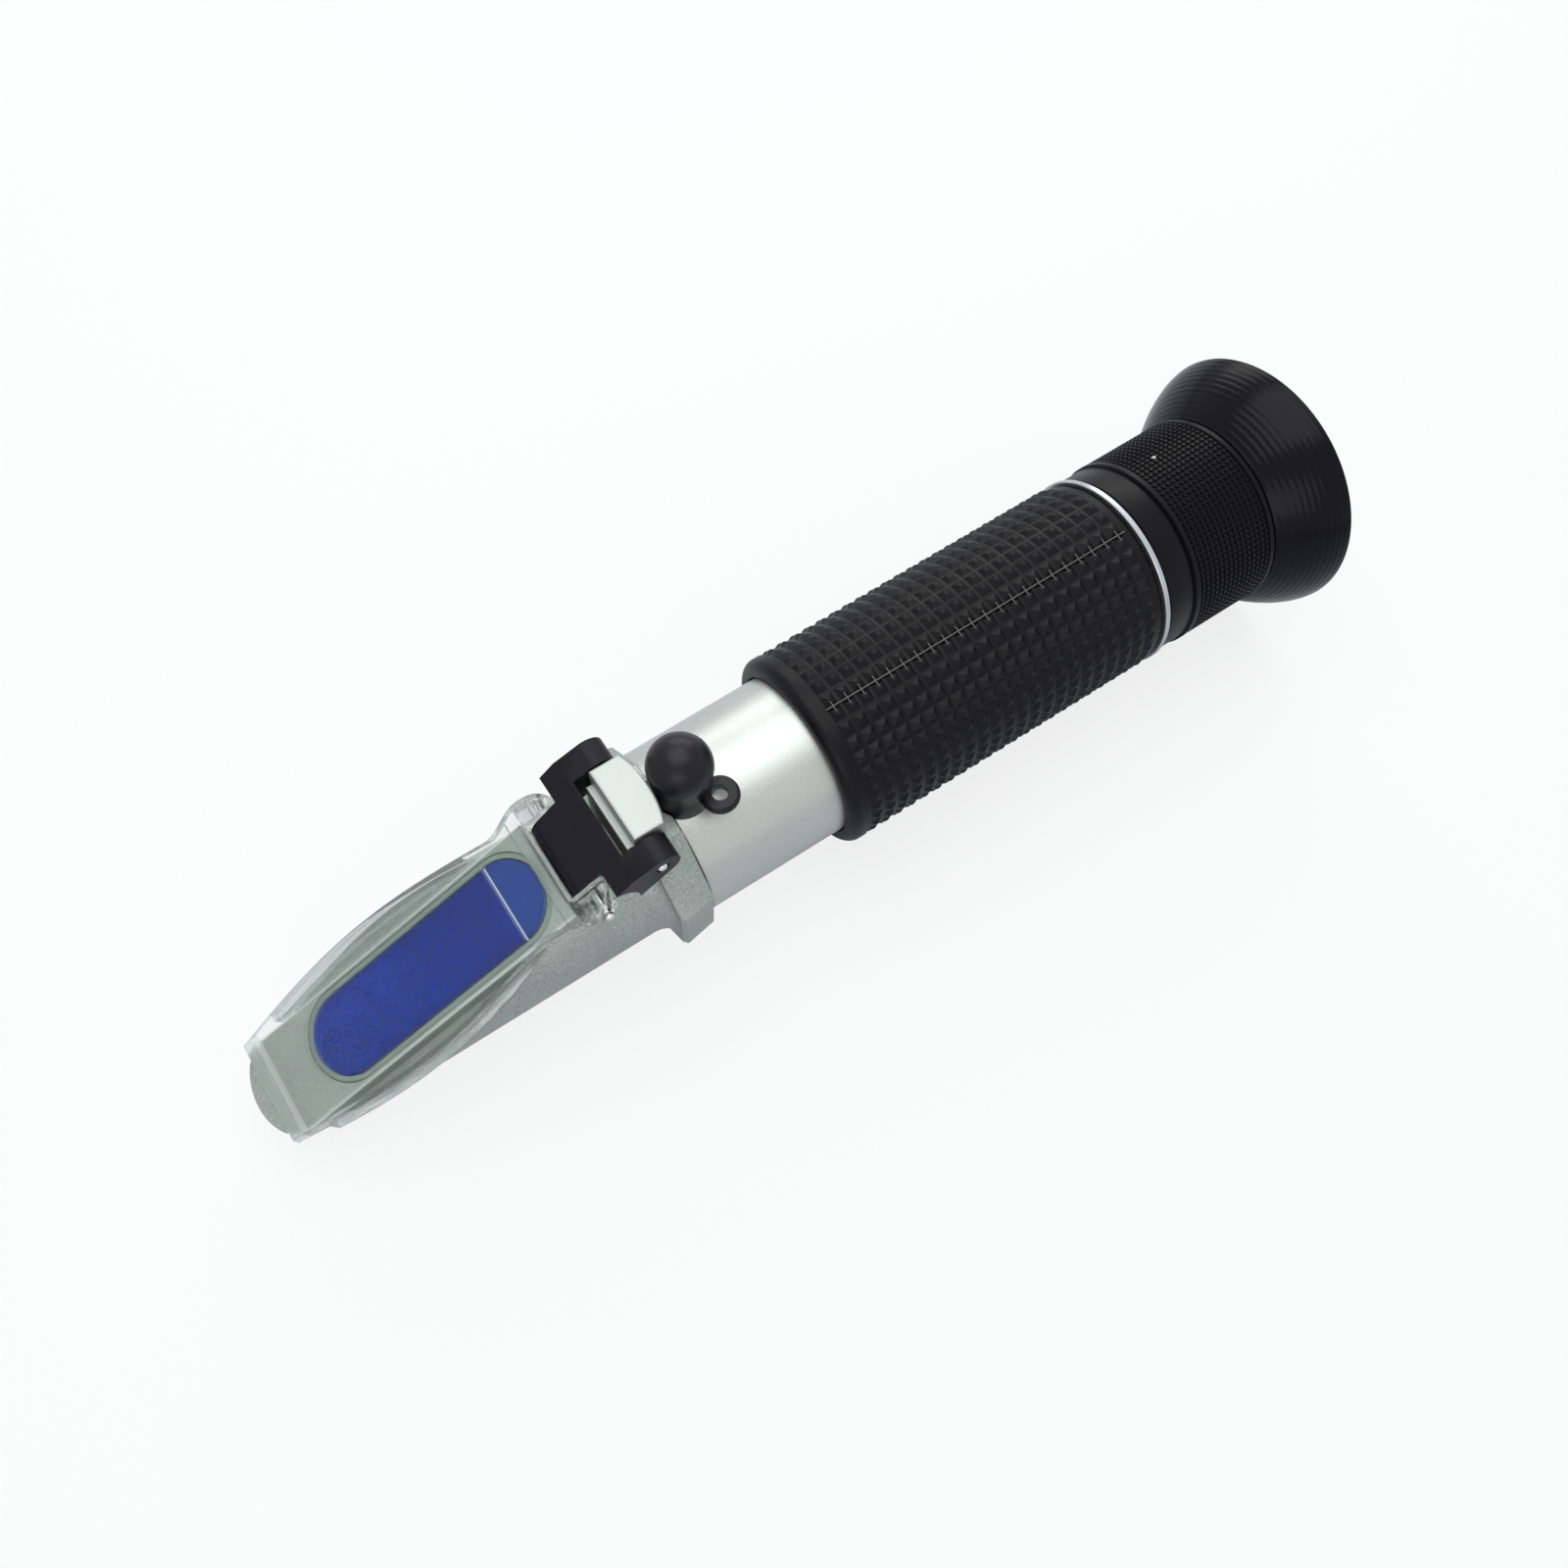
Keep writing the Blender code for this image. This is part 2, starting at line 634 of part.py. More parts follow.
def make_body_set_screws(axis):
    outer = TUBE_RADIUS - PIN_GAP
    look = finish("set_screw_steel", (0.20, 0.20, 0.21), 0.4, metallic=1.0)
    for name, direction in zip(("set_screw_near", "set_screw_far"), set_screw_places()):
        sections = [(outer - SET_SCREW_LENGTH, SET_SCREW_RADIUS), (outer, SET_SCREW_RADIUS)]
        piece(name, rod((SCREW_X, 0, 0), direction, sections), axis, look)


def make_calibration_bush(axis):
    """Bush in the tube's wall, with a collar outside."""
    seat = TUBE_RADIUS + FIT_GAP
    start = CHAMBER_RADIUS
    sections = [(0, BUSH_RADIUS), (seat - start, BUSH_RADIUS), (seat - start, BUSH_COLLAR_RADIUS),
                (seat + BUSH_COLLAR_HEIGHT - start, BUSH_COLLAR_RADIUS)]
    look = finish("bush_brass", (0.70, 0.52, 0.24), 0.35, metallic=1.0)
    bush = piece("calibration_bush", rod((SCREW_X, 0, start), (0, 0, 1), sections), axis, look)
    bore = ADJUSTER_RADIUS + PIN_GAP
    hole = rod((SCREW_X, 0, TUNNEL_RADIUS), (0, 0, 1), [(0, bore), (CAP_TOP, bore)])
    cut(bush, piece("bush_bore", hole, axis))


def make_calibration_screw(adjuster):
    """Slotted screw that presses on the strip, modelled on its own axis."""
    seat = TUBE_RADIUS + BUSH_COLLAR_HEIGHT + FIT_GAP + PIN_GAP
    tip = STRIP_TOP + FIT_GAP
    head_top = seat + ADJUSTER_HEAD_HEIGHT
    sections = [(tip, ADJUSTER_RADIUS), (seat, ADJUSTER_RADIUS), (seat, ADJUSTER_HEAD_RADIUS),
                (head_top, ADJUSTER_HEAD_RADIUS)]
    look = finish("adjuster_steel", (0.55, 0.54, 0.52), 0.3, metallic=1.0)
    screw = piece("calibration_screw", rod((0, 0, 0), (0, 0, 1), sections), adjuster, look)
    reach = ADJUSTER_HEAD_RADIUS + OVERRUN
    slot = block(-reach, reach, ADJUSTER_SLOT_WIDTH / 2, head_top - ADJUSTER_SLOT_DEPTH, head_top + OVERRUN)
    cut(screw, piece("adjuster_slot", slot, adjuster))


def make_calibration_cap(cap_axis):
    """Rubber cap over the calibration screw, with a ring-shaped pull tab."""
    sections = [(TUBE_BORE, CAP_RADIUS)]
    for i in range(5):
        angle = CAP_DOME_TURN * i / 4
        height = CAP_SHOULDER + (CAP_TOP - CAP_SHOULDER) * math.sin(angle)
        sections.append((height, CAP_RADIUS * math.cos(angle)))
    look = finish("cap_rubber", (0.015, 0.015, 0.018), 0.6)
    cap = piece("calibration_cap", rod((0, 0, 0), (0, 0, 1), sections, MEDIUM_STEPS), cap_axis, look)
    tab = (TAB_REACH * math.cos(TAB_ANGLE), TAB_REACH * math.sin(TAB_ANGLE), 0)
    tab_top = TAB_UNDERSIDE + TAB_THICKNESS
    disc = rod(tab, (0, 0, 1), [(TAB_UNDERSIDE, TAB_RADIUS), (tab_top, TAB_RADIUS)], MEDIUM_STEPS)
    join(cap, piece("tab_disc", disc, cap_axis))
    hole = rod(tab, (0, 0, 1), [(TUBE_RADIUS, TAB_HOLE_RADIUS), (tab_top + OVERRUN, TAB_HOLE_RADIUS)])
    bore = CAP_RADIUS - CAP_WALL
    hollow = rod((0, 0, 0), (0, 0, 1), [(0, bore), (TUBE_RADIUS + CAP_HOLLOW, bore)], MEDIUM_STEPS)
    saddle = turned([(-TUBE_RADIUS, 0), (-TUBE_RADIUS, GRIP_BORE), (TUBE_RADIUS, GRIP_BORE),
                     (TUBE_RADIUS, 0)], LARGE_STEPS)
    cut(cap, piece("tab_hole", hole, cap_axis), piece("cap_bore", hollow, cap_axis),
        piece("cap_saddle", saddle, cap_axis))


def make_compensator(axis):
    """Bimetal strip fixed by two screws, with the objective lens at its free end."""
    look = finish("strip_bimetal", (0.72, 0.62, 0.42), 0.4, metallic=1.0)
    bm = block(-STRIP_FRONT, STRIP_REACH, STRIP_WIDTH / 2, STRIP_BOTTOM, STRIP_TOP)
    strip = piece("bimetal_strip", bm, axis, look)
    cut(strip, strip_screw_holes(axis))
    steel = finish("strip_screw_steel", (0.5, 0.5, 0.5), 0.35, metallic=1.0)
    for name, side in (("strip_screw_near", -1), ("strip_screw_far", 1)):
        screw = strip_screw(side, STRIP_SCREW_HEAD_HEIGHT, STRIP_SCREW_RADIUS, STRIP_SCREW_HEAD,
                            STRIP_THICKNESS + STRIP_SCREW_DEPTH)
        piece(name, screw, axis, steel)
    bore = CELL_RADIUS - CELL_WALL
    end = CELL_FRONT + CELL_LENGTH
    outline = [(CELL_FRONT, CELL_RADIUS), (end, CELL_RADIUS), (end, bore), (CELL_FRONT + CELL_LIP, bore),
               (CELL_FRONT + CELL_LIP, bore - CELL_LIP), (CELL_FRONT, bore - CELL_LIP)]
    piece("objective_cell", turned(outline, MEDIUM_STEPS), axis, finish("cell_black", (0.03, 0.03, 0.03), 0.6))
    lens_front = CELL_FRONT + CELL_LIP + FIT_GAP - LENS_BULGE / 2
    outline = lens_outline(lens_front, bore - FIT_GAP, LENS_THICKNESS)
    piece("objective_lens", turned(outline, MEDIUM_STEPS), axis,
          finish("objective_glass", (0.85, 0.9, 0.9), 0.02, clear=1.0))


def make_reticle(axis):
    """Scale glass in its holder, with the ring that keeps it in."""
    end = RETICLE_FRONT + RETICLE_LENGTH
    shoulder = RETICLE_FRONT + RETICLE_SHOULDER
    pocket = RETICLE_GLASS_RADIUS + FIT_GAP
    outline = [(RETICLE_FRONT, SPIGOT_RADIUS), (end, SPIGOT_RADIUS), (end, pocket), (shoulder, pocket),
               (shoulder, RETICLE_BORE), (RETICLE_FRONT, RETICLE_BORE)]
    piece("reticle_holder", turned(outline, LARGE_STEPS), axis,
          finish("reticle_holder_black", (0.03, 0.03, 0.03), 0.6))
    glass_front = shoulder + FIT_GAP
    glass_end = glass_front + RETICLE_GLASS_THICKNESS
    glass = [(glass_front, 0), (glass_front, RETICLE_GLASS_RADIUS), (glass_end, RETICLE_GLASS_RADIUS),
             (glass_end, 0)]
    piece("reticle_glass", turned(glass, MEDIUM_STEPS), axis,
          finish("scale_glass", (0.85, 0.92, 0.95), 0.03, clear=1.0))
    ring_front = glass_end + FIT_GAP
    keeper = ring(ring_front, ring_front + RETICLE_RING_LENGTH, RETICLE_GLASS_RADIUS, RETICLE_BORE,
                  MEDIUM_STEPS)
    piece("reticle_retainer", keeper, axis, finish("reticle_ring_brass", (0.6, 0.45, 0.2), 0.4, metallic=1.0))


def make_grip_sleeve(axis):
    collar = arc((GRIP_FRONT + GRIP_COLLAR_ROUND, GRIP_RADIUS - GRIP_COLLAR_ROUND), GRIP_COLLAR_ROUND,
                 180, 90, 4)
    outline = collar + [(GRIP_END, GRIP_RADIUS), (GRIP_END, GRIP_BORE), (GRIP_FRONT, GRIP_BORE)]
    piece("grip_sleeve", turned(outline, LARGE_STEPS), axis, finish("grip_rubber", (0.02, 0.02, 0.023), 0.65))


def make_trim_ring(axis):
    bm = ring(TRIM_FRONT, TRIM_END, GRIP_RADIUS, RING_BORE)
    piece("trim_ring", bm, axis, finish("trim_metal", (0.62, 0.64, 0.68), 0.3, metallic=1.0))


def make_eyepiece_bush(axis):
    """Fixed bush that guides the lens barrel and carries the focus ring."""
    bore = BARREL_RADIUS + FIT_GAP
    front = GRIP_END - EYE_BUSH_PLUG
    end = TRIM_FRONT + EYE_BUSH_NECK_LENGTH
    outline = [(front, SPIGOT_RADIUS), (TRIM_FRONT, SPIGOT_RADIUS), (TRIM_FRONT, EYE_BUSH_NECK_RADIUS),
               (end, EYE_BUSH_NECK_RADIUS), (end, bore), (front, bore)]
    bush = piece("eyepiece_bush", turned(outline, LARGE_STEPS), axis,
                 finish("bush_black", (0.04, 0.04, 0.04), 0.5))
    radius = GUIDE_SCREW_RADIUS + PIN_GAP
    hole = rod((GUIDE_SCREW_X, 0, 0), (0, 0, -1), [(BARREL_BORE, radius), (GRIP_RADIUS, radius)])
    cut(bush, piece("guide_hole", hole, axis))
    screw = rod((GUIDE_SCREW_X, 0, 0), (0, 0, -1), [(BARREL_BORE + FIT_GAP, GUIDE_SCREW_RADIUS),
                                                   (EYE_BUSH_NECK_RADIUS - SEAL_GAP, GUIDE_SCREW_RADIUS)])
    piece("guide_screw", screw, axis, finish("guide_screw_steel", (0.4, 0.4, 0.4), 0.4, metallic=1.0))


def make_lens_barrel(focus):
    """Barrel that slides in the bush, keyed by the guide screw."""
    end = BARREL_END
    lip = BARREL_FRONT + BARREL_LIP
    outline = [(BARREL_FRONT, BARREL_RADIUS), (COLLAR_FRONT, BARREL_RADIUS),
               (COLLAR_FRONT, BARREL_COLLAR_RADIUS), (end, BARREL_COLLAR_RADIUS), (end, BARREL_BORE),
               (lip, BARREL_BORE), (lip, BARREL_BORE - BARREL_LIP), (BARREL_FRONT, BARREL_BORE - BARREL_LIP)]
    barrel = piece("lens_barrel", turned(outline, LARGE_STEPS), focus,
                   finish("barrel_black", (0.03, 0.03, 0.03), 0.5))
    side = GUIDE_SCREW_RADIUS + FIT_GAP
    keyway = block(GUIDE_SCREW_X - FOCUS_TRAVEL - side, GUIDE_SCREW_X + side, side,
                   -BARREL_RADIUS - OVERRUN, -BARREL_BORE / 2)
    cut(barrel, piece("keyway", keyway, focus))


def make_eye_lenses(focus):
    """Field lens, spacer, eye lens and the ring that keeps them in the barrel."""
    inner = EYE_LENS_RADIUS - SPACER_WALL
    field_front = BARREL_FRONT + BARREL_LIP + FIT_GAP - LENS_BULGE / 2
    spacer_front = field_front + EYE_LENS_THICKNESS
    eye_front = spacer_front + SPACER_LENGTH
    ring_front = eye_front + EYE_LENS_THICKNESS
    for name, front in (("field_lens", field_front), ("eye_lens", eye_front)):
        look = finish(name + "_glass", (0.85, 0.9, 0.92), 0.02, clear=1.0)
        outline = lens_outline(front, EYE_LENS_RADIUS, EYE_LENS_THICKNESS)
        piece(name, turned(outline, MEDIUM_STEPS), focus, look)
    spacer = ring(spacer_front, eye_front, EYE_LENS_RADIUS, inner, MEDIUM_STEPS)
    piece("lens_spacer", spacer, focus, finish("spacer_black", (0.03, 0.03, 0.03), 0.6))
    keeper = ring(ring_front, ring_front + LENS_RING_LENGTH, EYE_LENS_RADIUS, inner, MEDIUM_STEPS)
    piece("lens_retainer", keeper, focus, finish("retainer_black", (0.03, 0.03, 0.03), 0.5))


def make_focus_ring(turn):
    """Ring that the fingers turn. Its web sits before the barrel's collar."""
    step = RING_FRONT + RING_BAND_LENGTH
    web_end = COLLAR_FRONT - FIT_GAP
    web_front = web_end - RING_WEB
    web_bore = BARREL_RADIUS + FIT_GAP
    spigot_end = RING_END + RING_SPIGOT_LENGTH
    spigot_bore = RING_SPIGOT_RADIUS - RING_SPIGOT_WALL
    chamfer = RING_RADIUS - RING_BAND_RADIUS
    outline = [(RING_FRONT, RING_BAND_RADIUS - chamfer), (RING_FRONT + chamfer, RING_BAND_RADIUS),
               (step, RING_BAND_RADIUS), (step, RING_RADIUS), (RING_END, RING_RADIUS),
               (RING_END, RING_SPIGOT_RADIUS), (spigot_end, RING_SPIGOT_RADIUS),
               (spigot_end, spigot_bore), (web_end, spigot_bore), (web_end, web_bore),
               (web_front, web_bore), (web_front, RING_BORE), (RING_FRONT, RING_BORE)]
    piece("focus_ring", turned(outline, LARGE_STEPS), turn, finish("ring_black", (0.025, 0.025, 0.028), 0.5))


def make_eyecup(turn):
    """Flared rubber cup on the focus ring's spigot."""
    outer = []
    for share in CUP_FLARE_SHARES:
        radius = RING_RADIUS + (CUP_RIM_RADIUS - RING_RADIUS) * (1 - (1 - share) ** 1.5)
        outer.append((CUP_FRONT + CUP_LENGTH * share, radius))
    neck_bore = RING_SPIGOT_RADIUS + FIT_GAP
    neck_end = RING_END + RING_SPIGOT_LENGTH + FIT_GAP
    floor = neck_end + CUP_FLANGE
    rim_inner = CUP_RIM_RADIUS - CUP_RIM_THICKNESS
    bowl = []
    for share in CUP_BOWL_SHARES:
        radius = rim_inner - (rim_inner - neck_bore) * (1 - share) ** 2
        bowl.append((floor + (CUP_END - floor) * share, radius))
    outline = outer + bowl[::-1] + [(floor, CUP_HOLE_RADIUS), (neck_end, CUP_HOLE_RADIUS),
                                    (neck_end, neck_bore), (CUP_FRONT, neck_bore)]
    piece("eyecup", turned(outline, LARGE_STEPS), turn, finish("cup_rubber", (0.02, 0.02, 0.023), 0.6))


def tangent_angle(centre, radius, outside, turn):
    """Angle at which a line from an outside point touches a circle, on one side or the other."""
    rise = math.atan2(outside[1] - centre[1], outside[0] - centre[0])
    reach = math.hypot(outside[0] - centre[0], outside[1] - centre[1])
    return rise + turn * math.acos(radius / reach)


def link_outline():
    """Side outline of the link round both pins, with the lug's pin at its origin."""
    front = (-LINK_SPAN_X, -LINK_SPAN_Z)
    crest = (-LINK_CREST_FORWARD, LINK_CREST_HEIGHT)
    below = math.atan2(LINK_SPAN_Z, LINK_SPAN_X) - math.pi / 2
    front_top = tangent_angle(front, KNUCKLE_RADIUS, crest, 1) - 2 * math.pi
    rear_top = tangent_angle((0, 0), KNUCKLE_RADIUS, crest, -1)
    front_knuckle = arc(front, KNUCKLE_RADIUS, math.degrees(below), math.degrees(front_top))
    rear_knuckle = arc((0, 0), KNUCKLE_RADIUS, math.degrees(rear_top), math.degrees(below))
    return front_knuckle + [crest] + rear_knuckle


def make_cover_link(link):
    """Black link: a tongue in front, wings and two arms that straddle the lug."""
    wide = WING_HALF_WIDTH
    body = piece("cover_link", across(link_outline(), -wide, wide), link,
                 finish("link_plastic", (0.02, 0.02, 0.028), 0.45))
    reach = LINK_SPAN_X + LINK_SPAN_Z
    slot = block(-LINK_BACK, reach, ARM_INNER, -reach, reach)
    swing = EAR_SWING + FIT_GAP
    notches = bmesh.new()
    for side in (-1, 1):
        start = (-LINK_SPAN_X, side * TONGUE_HALF_WIDTH, -LINK_SPAN_Z)
        rod(start, (0, side, 0), [(0, swing), (WING_HALF_WIDTH, swing)], MEDIUM_STEPS, notches)
    cut(body, piece("lug_slot", slot, link), piece("ear_notches", notches, link),
        pin_hole("arm_holes", 0, 0, LUG_PIN_RADIUS, reach, link),
        pin_hole("tongue_hole", -LINK_SPAN_X, -LINK_SPAN_Z, PLATE_PIN_RADIUS, reach, link))


def make_link_pin(axis):
    """Pin through the lug and the link's arms."""
    end = WING_HALF_WIDTH + FIT_GAP
    start = (-LUG_PIN_FORWARD, -end, LUG_PIN_HEIGHT)
    bm = rod(start, (0, 1, 0), [(0, LUG_PIN_RADIUS), (2 * end, LUG_PIN_RADIUS)])
    piece("link_pin", bm, axis, finish("link_pin_steel", (0.5, 0.5, 0.5), 0.3, metallic=1.0))


def make_plate_pin(link):
    """Pin through the tongue and the plate's ears, with a ball end on the near side."""
    length = PLATE_PIN_FAR_END + PLATE_PIN_NEAR_END
    ball = [(0, PIN_BALL_RADIUS / 2), (PIN_BALL_LENGTH / 4, PIN_BALL_RADIUS),
            (PIN_BALL_LENGTH * 3 / 4, PIN_BALL_RADIUS), (PIN_BALL_LENGTH, PLATE_PIN_RADIUS)]
    start = (-LINK_SPAN_X, -PLATE_PIN_NEAR_END, -LINK_SPAN_Z)
    bm = rod(start, (0, 1, 0), ball + [(length, PLATE_PIN_RADIUS)])
    piece("plate_pin", bm, link, finish("plate_pin_steel", (0.55, 0.56, 0.56), 0.25, metallic=1.0))


def plate_half_width(down):
    """Half width of the plate's top at a distance down the slope."""
    if down >= PLATE_WIDEST:
        share = (PLATE_FRONT - down) / (PLATE_FRONT - PLATE_WIDEST)
        return PLATE_FRONT_HALF + (PLATE_WIDEST_HALF - PLATE_FRONT_HALF) * math.sin(math.pi / 2 * share)
    if down >= PLATE_NECK:
        share = (PLATE_WIDEST - down) / (PLATE_WIDEST - PLATE_NECK)
        return PLATE_NECK_HALF + (PLATE_WIDEST_HALF - PLATE_NECK_HALF) * math.cos(math.pi / 2 * share)
    if down >= PLATE_EAR:
        share = (PLATE_NECK - down) / (PLATE_NECK - PLATE_EAR)
        return PLATE_NECK_HALF + (PLATE_EAR_HALF - PLATE_NECK_HALF) * (1 - math.cos(math.pi * share)) / 2
    share = (PLATE_EAR - down) / (PLATE_EAR + EAR_END)
    return EAR_END_HALF + (PLATE_EAR_HALF - EAR_END_HALF) * math.sqrt(max(0, 1 - share ** 2))


def plate_flare(down):
    """How far the plate's flanks lean out at the skirt's lower edge."""
    share = (down - PLATE_NECK) / (PLATE_WIDEST - PLATE_NECK)
    return SKIRT_FLARE * math.sin(math.pi / 2 * min(1, max(0, share)))


def spread(first, last, count):
    """Evenly spread values, with the first but not the last."""
    return [first + (last - first) * i / count for i in range(count)]


def plate_outline(height):
    """Plan outline of the plate at one height, wider below than above."""
    lean = (SHEET_TOP - height) / (SHEET_TOP - FACE_OVER_PIN + SKIRT_DEPTH)
    downs = spread(PLATE_FRONT, PLATE_WIDEST, 7) + spread(PLATE_WIDEST, PLATE_NECK, 8)
    downs += spread(PLATE_NECK, PLATE_EAR, 5)
    for i in range(5):
        downs.append(PLATE_EAR - (PLATE_EAR + EAR_END) * math.sin(math.radians(90 * i / 4)))
    half = []
    for down in downs:
        half.append((-down, -plate_half_width(down) - plate_flare(down) * lean))
    half[0] = (-PLATE_FRONT - SKIRT_FLARE * lean, half[0][1])
    half += [(EAR_END, -EAR_INNER), (-PLATE_SHEET_REAR, -EAR_INNER)]
    return mirrored(half)


def plate_hollow(plate):
    """Space under the sheet: open at both ends, between the skirts along the sides."""
    far = PLATE_FRONT + OVERRUN + SKIRT_FLARE
    wide = PLATE_WIDEST_HALF + OVERRUN
    least = TABLE_HALF_WIDTH + FLANK_FALL + FIT_GAP
    half = [(-far, -wide), (-SKIRT_FRONT, -wide)]
    for down in spread(SKIRT_FRONT, SKIRT_REAR, 8) + [SKIRT_REAR]:
        half.append((-down, -max(least, plate_half_width(down) - SKIRT_WALL)))
    ear_face = -EAR_INNER - FIT_GAP
    half += [(-SKIRT_REAR, -wide), (-EAR_FRONT, -wide), (-EAR_FRONT, ear_face),
             (EAR_END + OVERRUN, ear_face)]
    low = -EAR_BOSS_RADIUS - OVERRUN
    return piece("plate_hollow", upright(mirrored(half), low, SHEET_BOTTOM), plate)


def plate_underside(plate):
    """Everything under the skirts' lower edge and round the bosses of the ears."""
    far = PLATE_FRONT + OVERRUN + SKIRT_FLARE
    low = -EAR_BOSS_RADIUS - OVERRUN
    edge = FACE_OVER_PIN - SKIRT_DEPTH
    boss = arc((0, 0), EAR_BOSS_RADIUS, *EAR_BOSS_ARC)
    outline = [(-far, edge), (FIT_GAP - EAR_FRONT, edge)] + boss
    outline += [(EAR_END + OVERRUN, SHEET_BOTTOM / 2), (EAR_END + OVERRUN, low), (-far, low)]
    wide = PLATE_WIDEST_HALF + OVERRUN
    return piece("plate_underside", across(outline, -wide, wide), plate)


def make_daylight_plate(plate):
    """Clear plate over the prism: a sheet with side skirts and two ears round the pin."""
    look = finish("clear_acrylic", (0.80, 0.90, 0.86), 0.05, clear=1.0)
    low = -EAR_BOSS_RADIUS - FIT_GAP
    loops = [[(x, y, z) for x, y in plate_outline(z)] for z in (low, SHEET_TOP)]
    blank = loft(loops)
    bmesh.ops.triangulate(blank, faces=blank.faces)
    body = piece("daylight_plate", blank, plate, look)
    cut(body, plate_hollow(plate), plate_underside(plate),
        pin_hole("ear_holes", 0, 0, PLATE_PIN_RADIUS, PLATE_WIDEST_HALF + OVERRUN, plate))


def build():
    """Set up the fixed frames and the joints' axes, then make every piece."""
    clear_scene()
    axis = carrier("axis_frame", (0, 0, AXIS_HEIGHT))
    face = carrier("face_frame", (-PLATE_PIN_FORWARD, 0, PLATE_PIN_HEIGHT), axis, FACE_SLOPE)
    link = carrier("link_axis", (-LUG_PIN_FORWARD, 0, LUG_PIN_HEIGHT), axis)
    plate = carrier("plate_axis", (-LINK_SPAN_X, 0, -LINK_SPAN_Z), link, FACE_SLOPE)
    cap_axis = carrier("cap_axis", (SCREW_X, 0, 0), axis)
    adjuster = carrier("adjuster_axis", (SCREW_X, 0, 0), axis)
    focus = carrier("focus_axis", (0, 0, 0), axis)
    turn = carrier("turn_axis", (0, 0, 0), focus)
    make_prism_box(axis, face)
    make_measuring_prism(face)
    make_prism_seal(face)
    make_light_stop(axis)
    make_body_tube(axis)
    make_body_set_screws(axis)
    make_calibration_bush(axis)
    make_calibration_screw(adjuster)
    make_calibration_cap(cap_axis)
    make_compensator(axis)
    make_reticle(axis)
    make_grip_sleeve(axis)
    make_trim_ring(axis)
    make_eyepiece_bush(axis)
    make_lens_barrel(focus)
    make_eye_lenses(focus)
    make_focus_ring(turn)
    make_eyecup(turn)
    make_link_pin(axis)
    make_cover_link(link)
    make_plate_pin(link)
    make_daylight_plate(plate)


build()
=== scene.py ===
# Honey refractometer, dressed for a picture. Metres, X along the optical axis toward the eye, Z up.
import math

import bmesh
import bpy
from mathutils import Matrix, Vector


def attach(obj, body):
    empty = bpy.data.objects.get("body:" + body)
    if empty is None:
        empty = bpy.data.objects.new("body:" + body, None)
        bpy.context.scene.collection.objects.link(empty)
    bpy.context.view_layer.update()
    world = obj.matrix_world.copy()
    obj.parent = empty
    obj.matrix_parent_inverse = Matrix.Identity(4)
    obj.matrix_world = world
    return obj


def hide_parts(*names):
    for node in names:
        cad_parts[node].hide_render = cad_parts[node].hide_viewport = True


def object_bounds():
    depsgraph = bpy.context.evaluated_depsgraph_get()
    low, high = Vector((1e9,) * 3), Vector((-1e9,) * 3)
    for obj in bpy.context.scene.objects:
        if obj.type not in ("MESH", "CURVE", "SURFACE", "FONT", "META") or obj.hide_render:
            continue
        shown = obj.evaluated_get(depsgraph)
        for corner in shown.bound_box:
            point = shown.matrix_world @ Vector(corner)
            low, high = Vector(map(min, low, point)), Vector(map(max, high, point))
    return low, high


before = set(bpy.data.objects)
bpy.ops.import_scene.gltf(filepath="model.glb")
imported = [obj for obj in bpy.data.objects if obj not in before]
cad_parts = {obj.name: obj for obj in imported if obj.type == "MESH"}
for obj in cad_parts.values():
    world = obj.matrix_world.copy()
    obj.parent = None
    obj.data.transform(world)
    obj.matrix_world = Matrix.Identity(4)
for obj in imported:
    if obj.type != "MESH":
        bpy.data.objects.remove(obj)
cad_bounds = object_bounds()

# The view: a camera held close above the prism end, a little off its lens's centre.
# Its place and turn come from the round edges of the tube, grip and eyecup in the photograph.
photo_side = 1600
principal_point = (711.7, 874.2)
focal_pixels = 1326
scene = bpy.context.scene
camera = bpy.data.cameras.new("camera")
camera.sensor_width = 36
camera.lens = focal_pixels / photo_side * camera.sensor_width
camera.shift_x = 0.5 - principal_point[0] / photo_side
camera.shift_y = principal_point[1] / photo_side - 0.5
camera.clip_start = 0.005
holder = bpy.data.objects.new("camera", camera)
scene.collection.objects.link(holder)
holder.location = (-0.02567, -0.05826, 0.18653)
holder.rotation_euler = [math.radians(a) for a in (19.52, 0.925, -32.66)]
scene.camera = holder
scene.view_settings.view_transform = "Standard"

# The light: one broad soft lamp overhead, a long one behind and a weak one from the front.
# They are large for their distance, so that the satin metal gets wide soft highlights.
lamps = {
    "overhead": ((0.05, 0.10, 0.50), (0.02, 0, 0), 0.50, 0.50, 1.6),
    "back": ((0.30, 0.40, 0.25), (0.03, 0, 0.01), 0.50, 0.25, 0.9),
    "front": ((-0.30, -0.40, 0.30), (0, 0, 0), 0.40, 0.30, 0.5),
}
for name, (place, aim, width, depth, watts) in lamps.items():
    lamp = bpy.data.lights.new(name, "AREA")
    lamp.shape = "RECTANGLE"
    lamp.size = width
    lamp.size_y = depth
    lamp.energy = watts
    lamp_holder = bpy.data.objects.new(name, lamp)
    scene.collection.objects.link(lamp_holder)
    lamp_holder.location = place
    lamp_holder.rotation_euler = (Vector(aim) - Vector(place)).to_track_quat("-Z", "Y").to_euler()

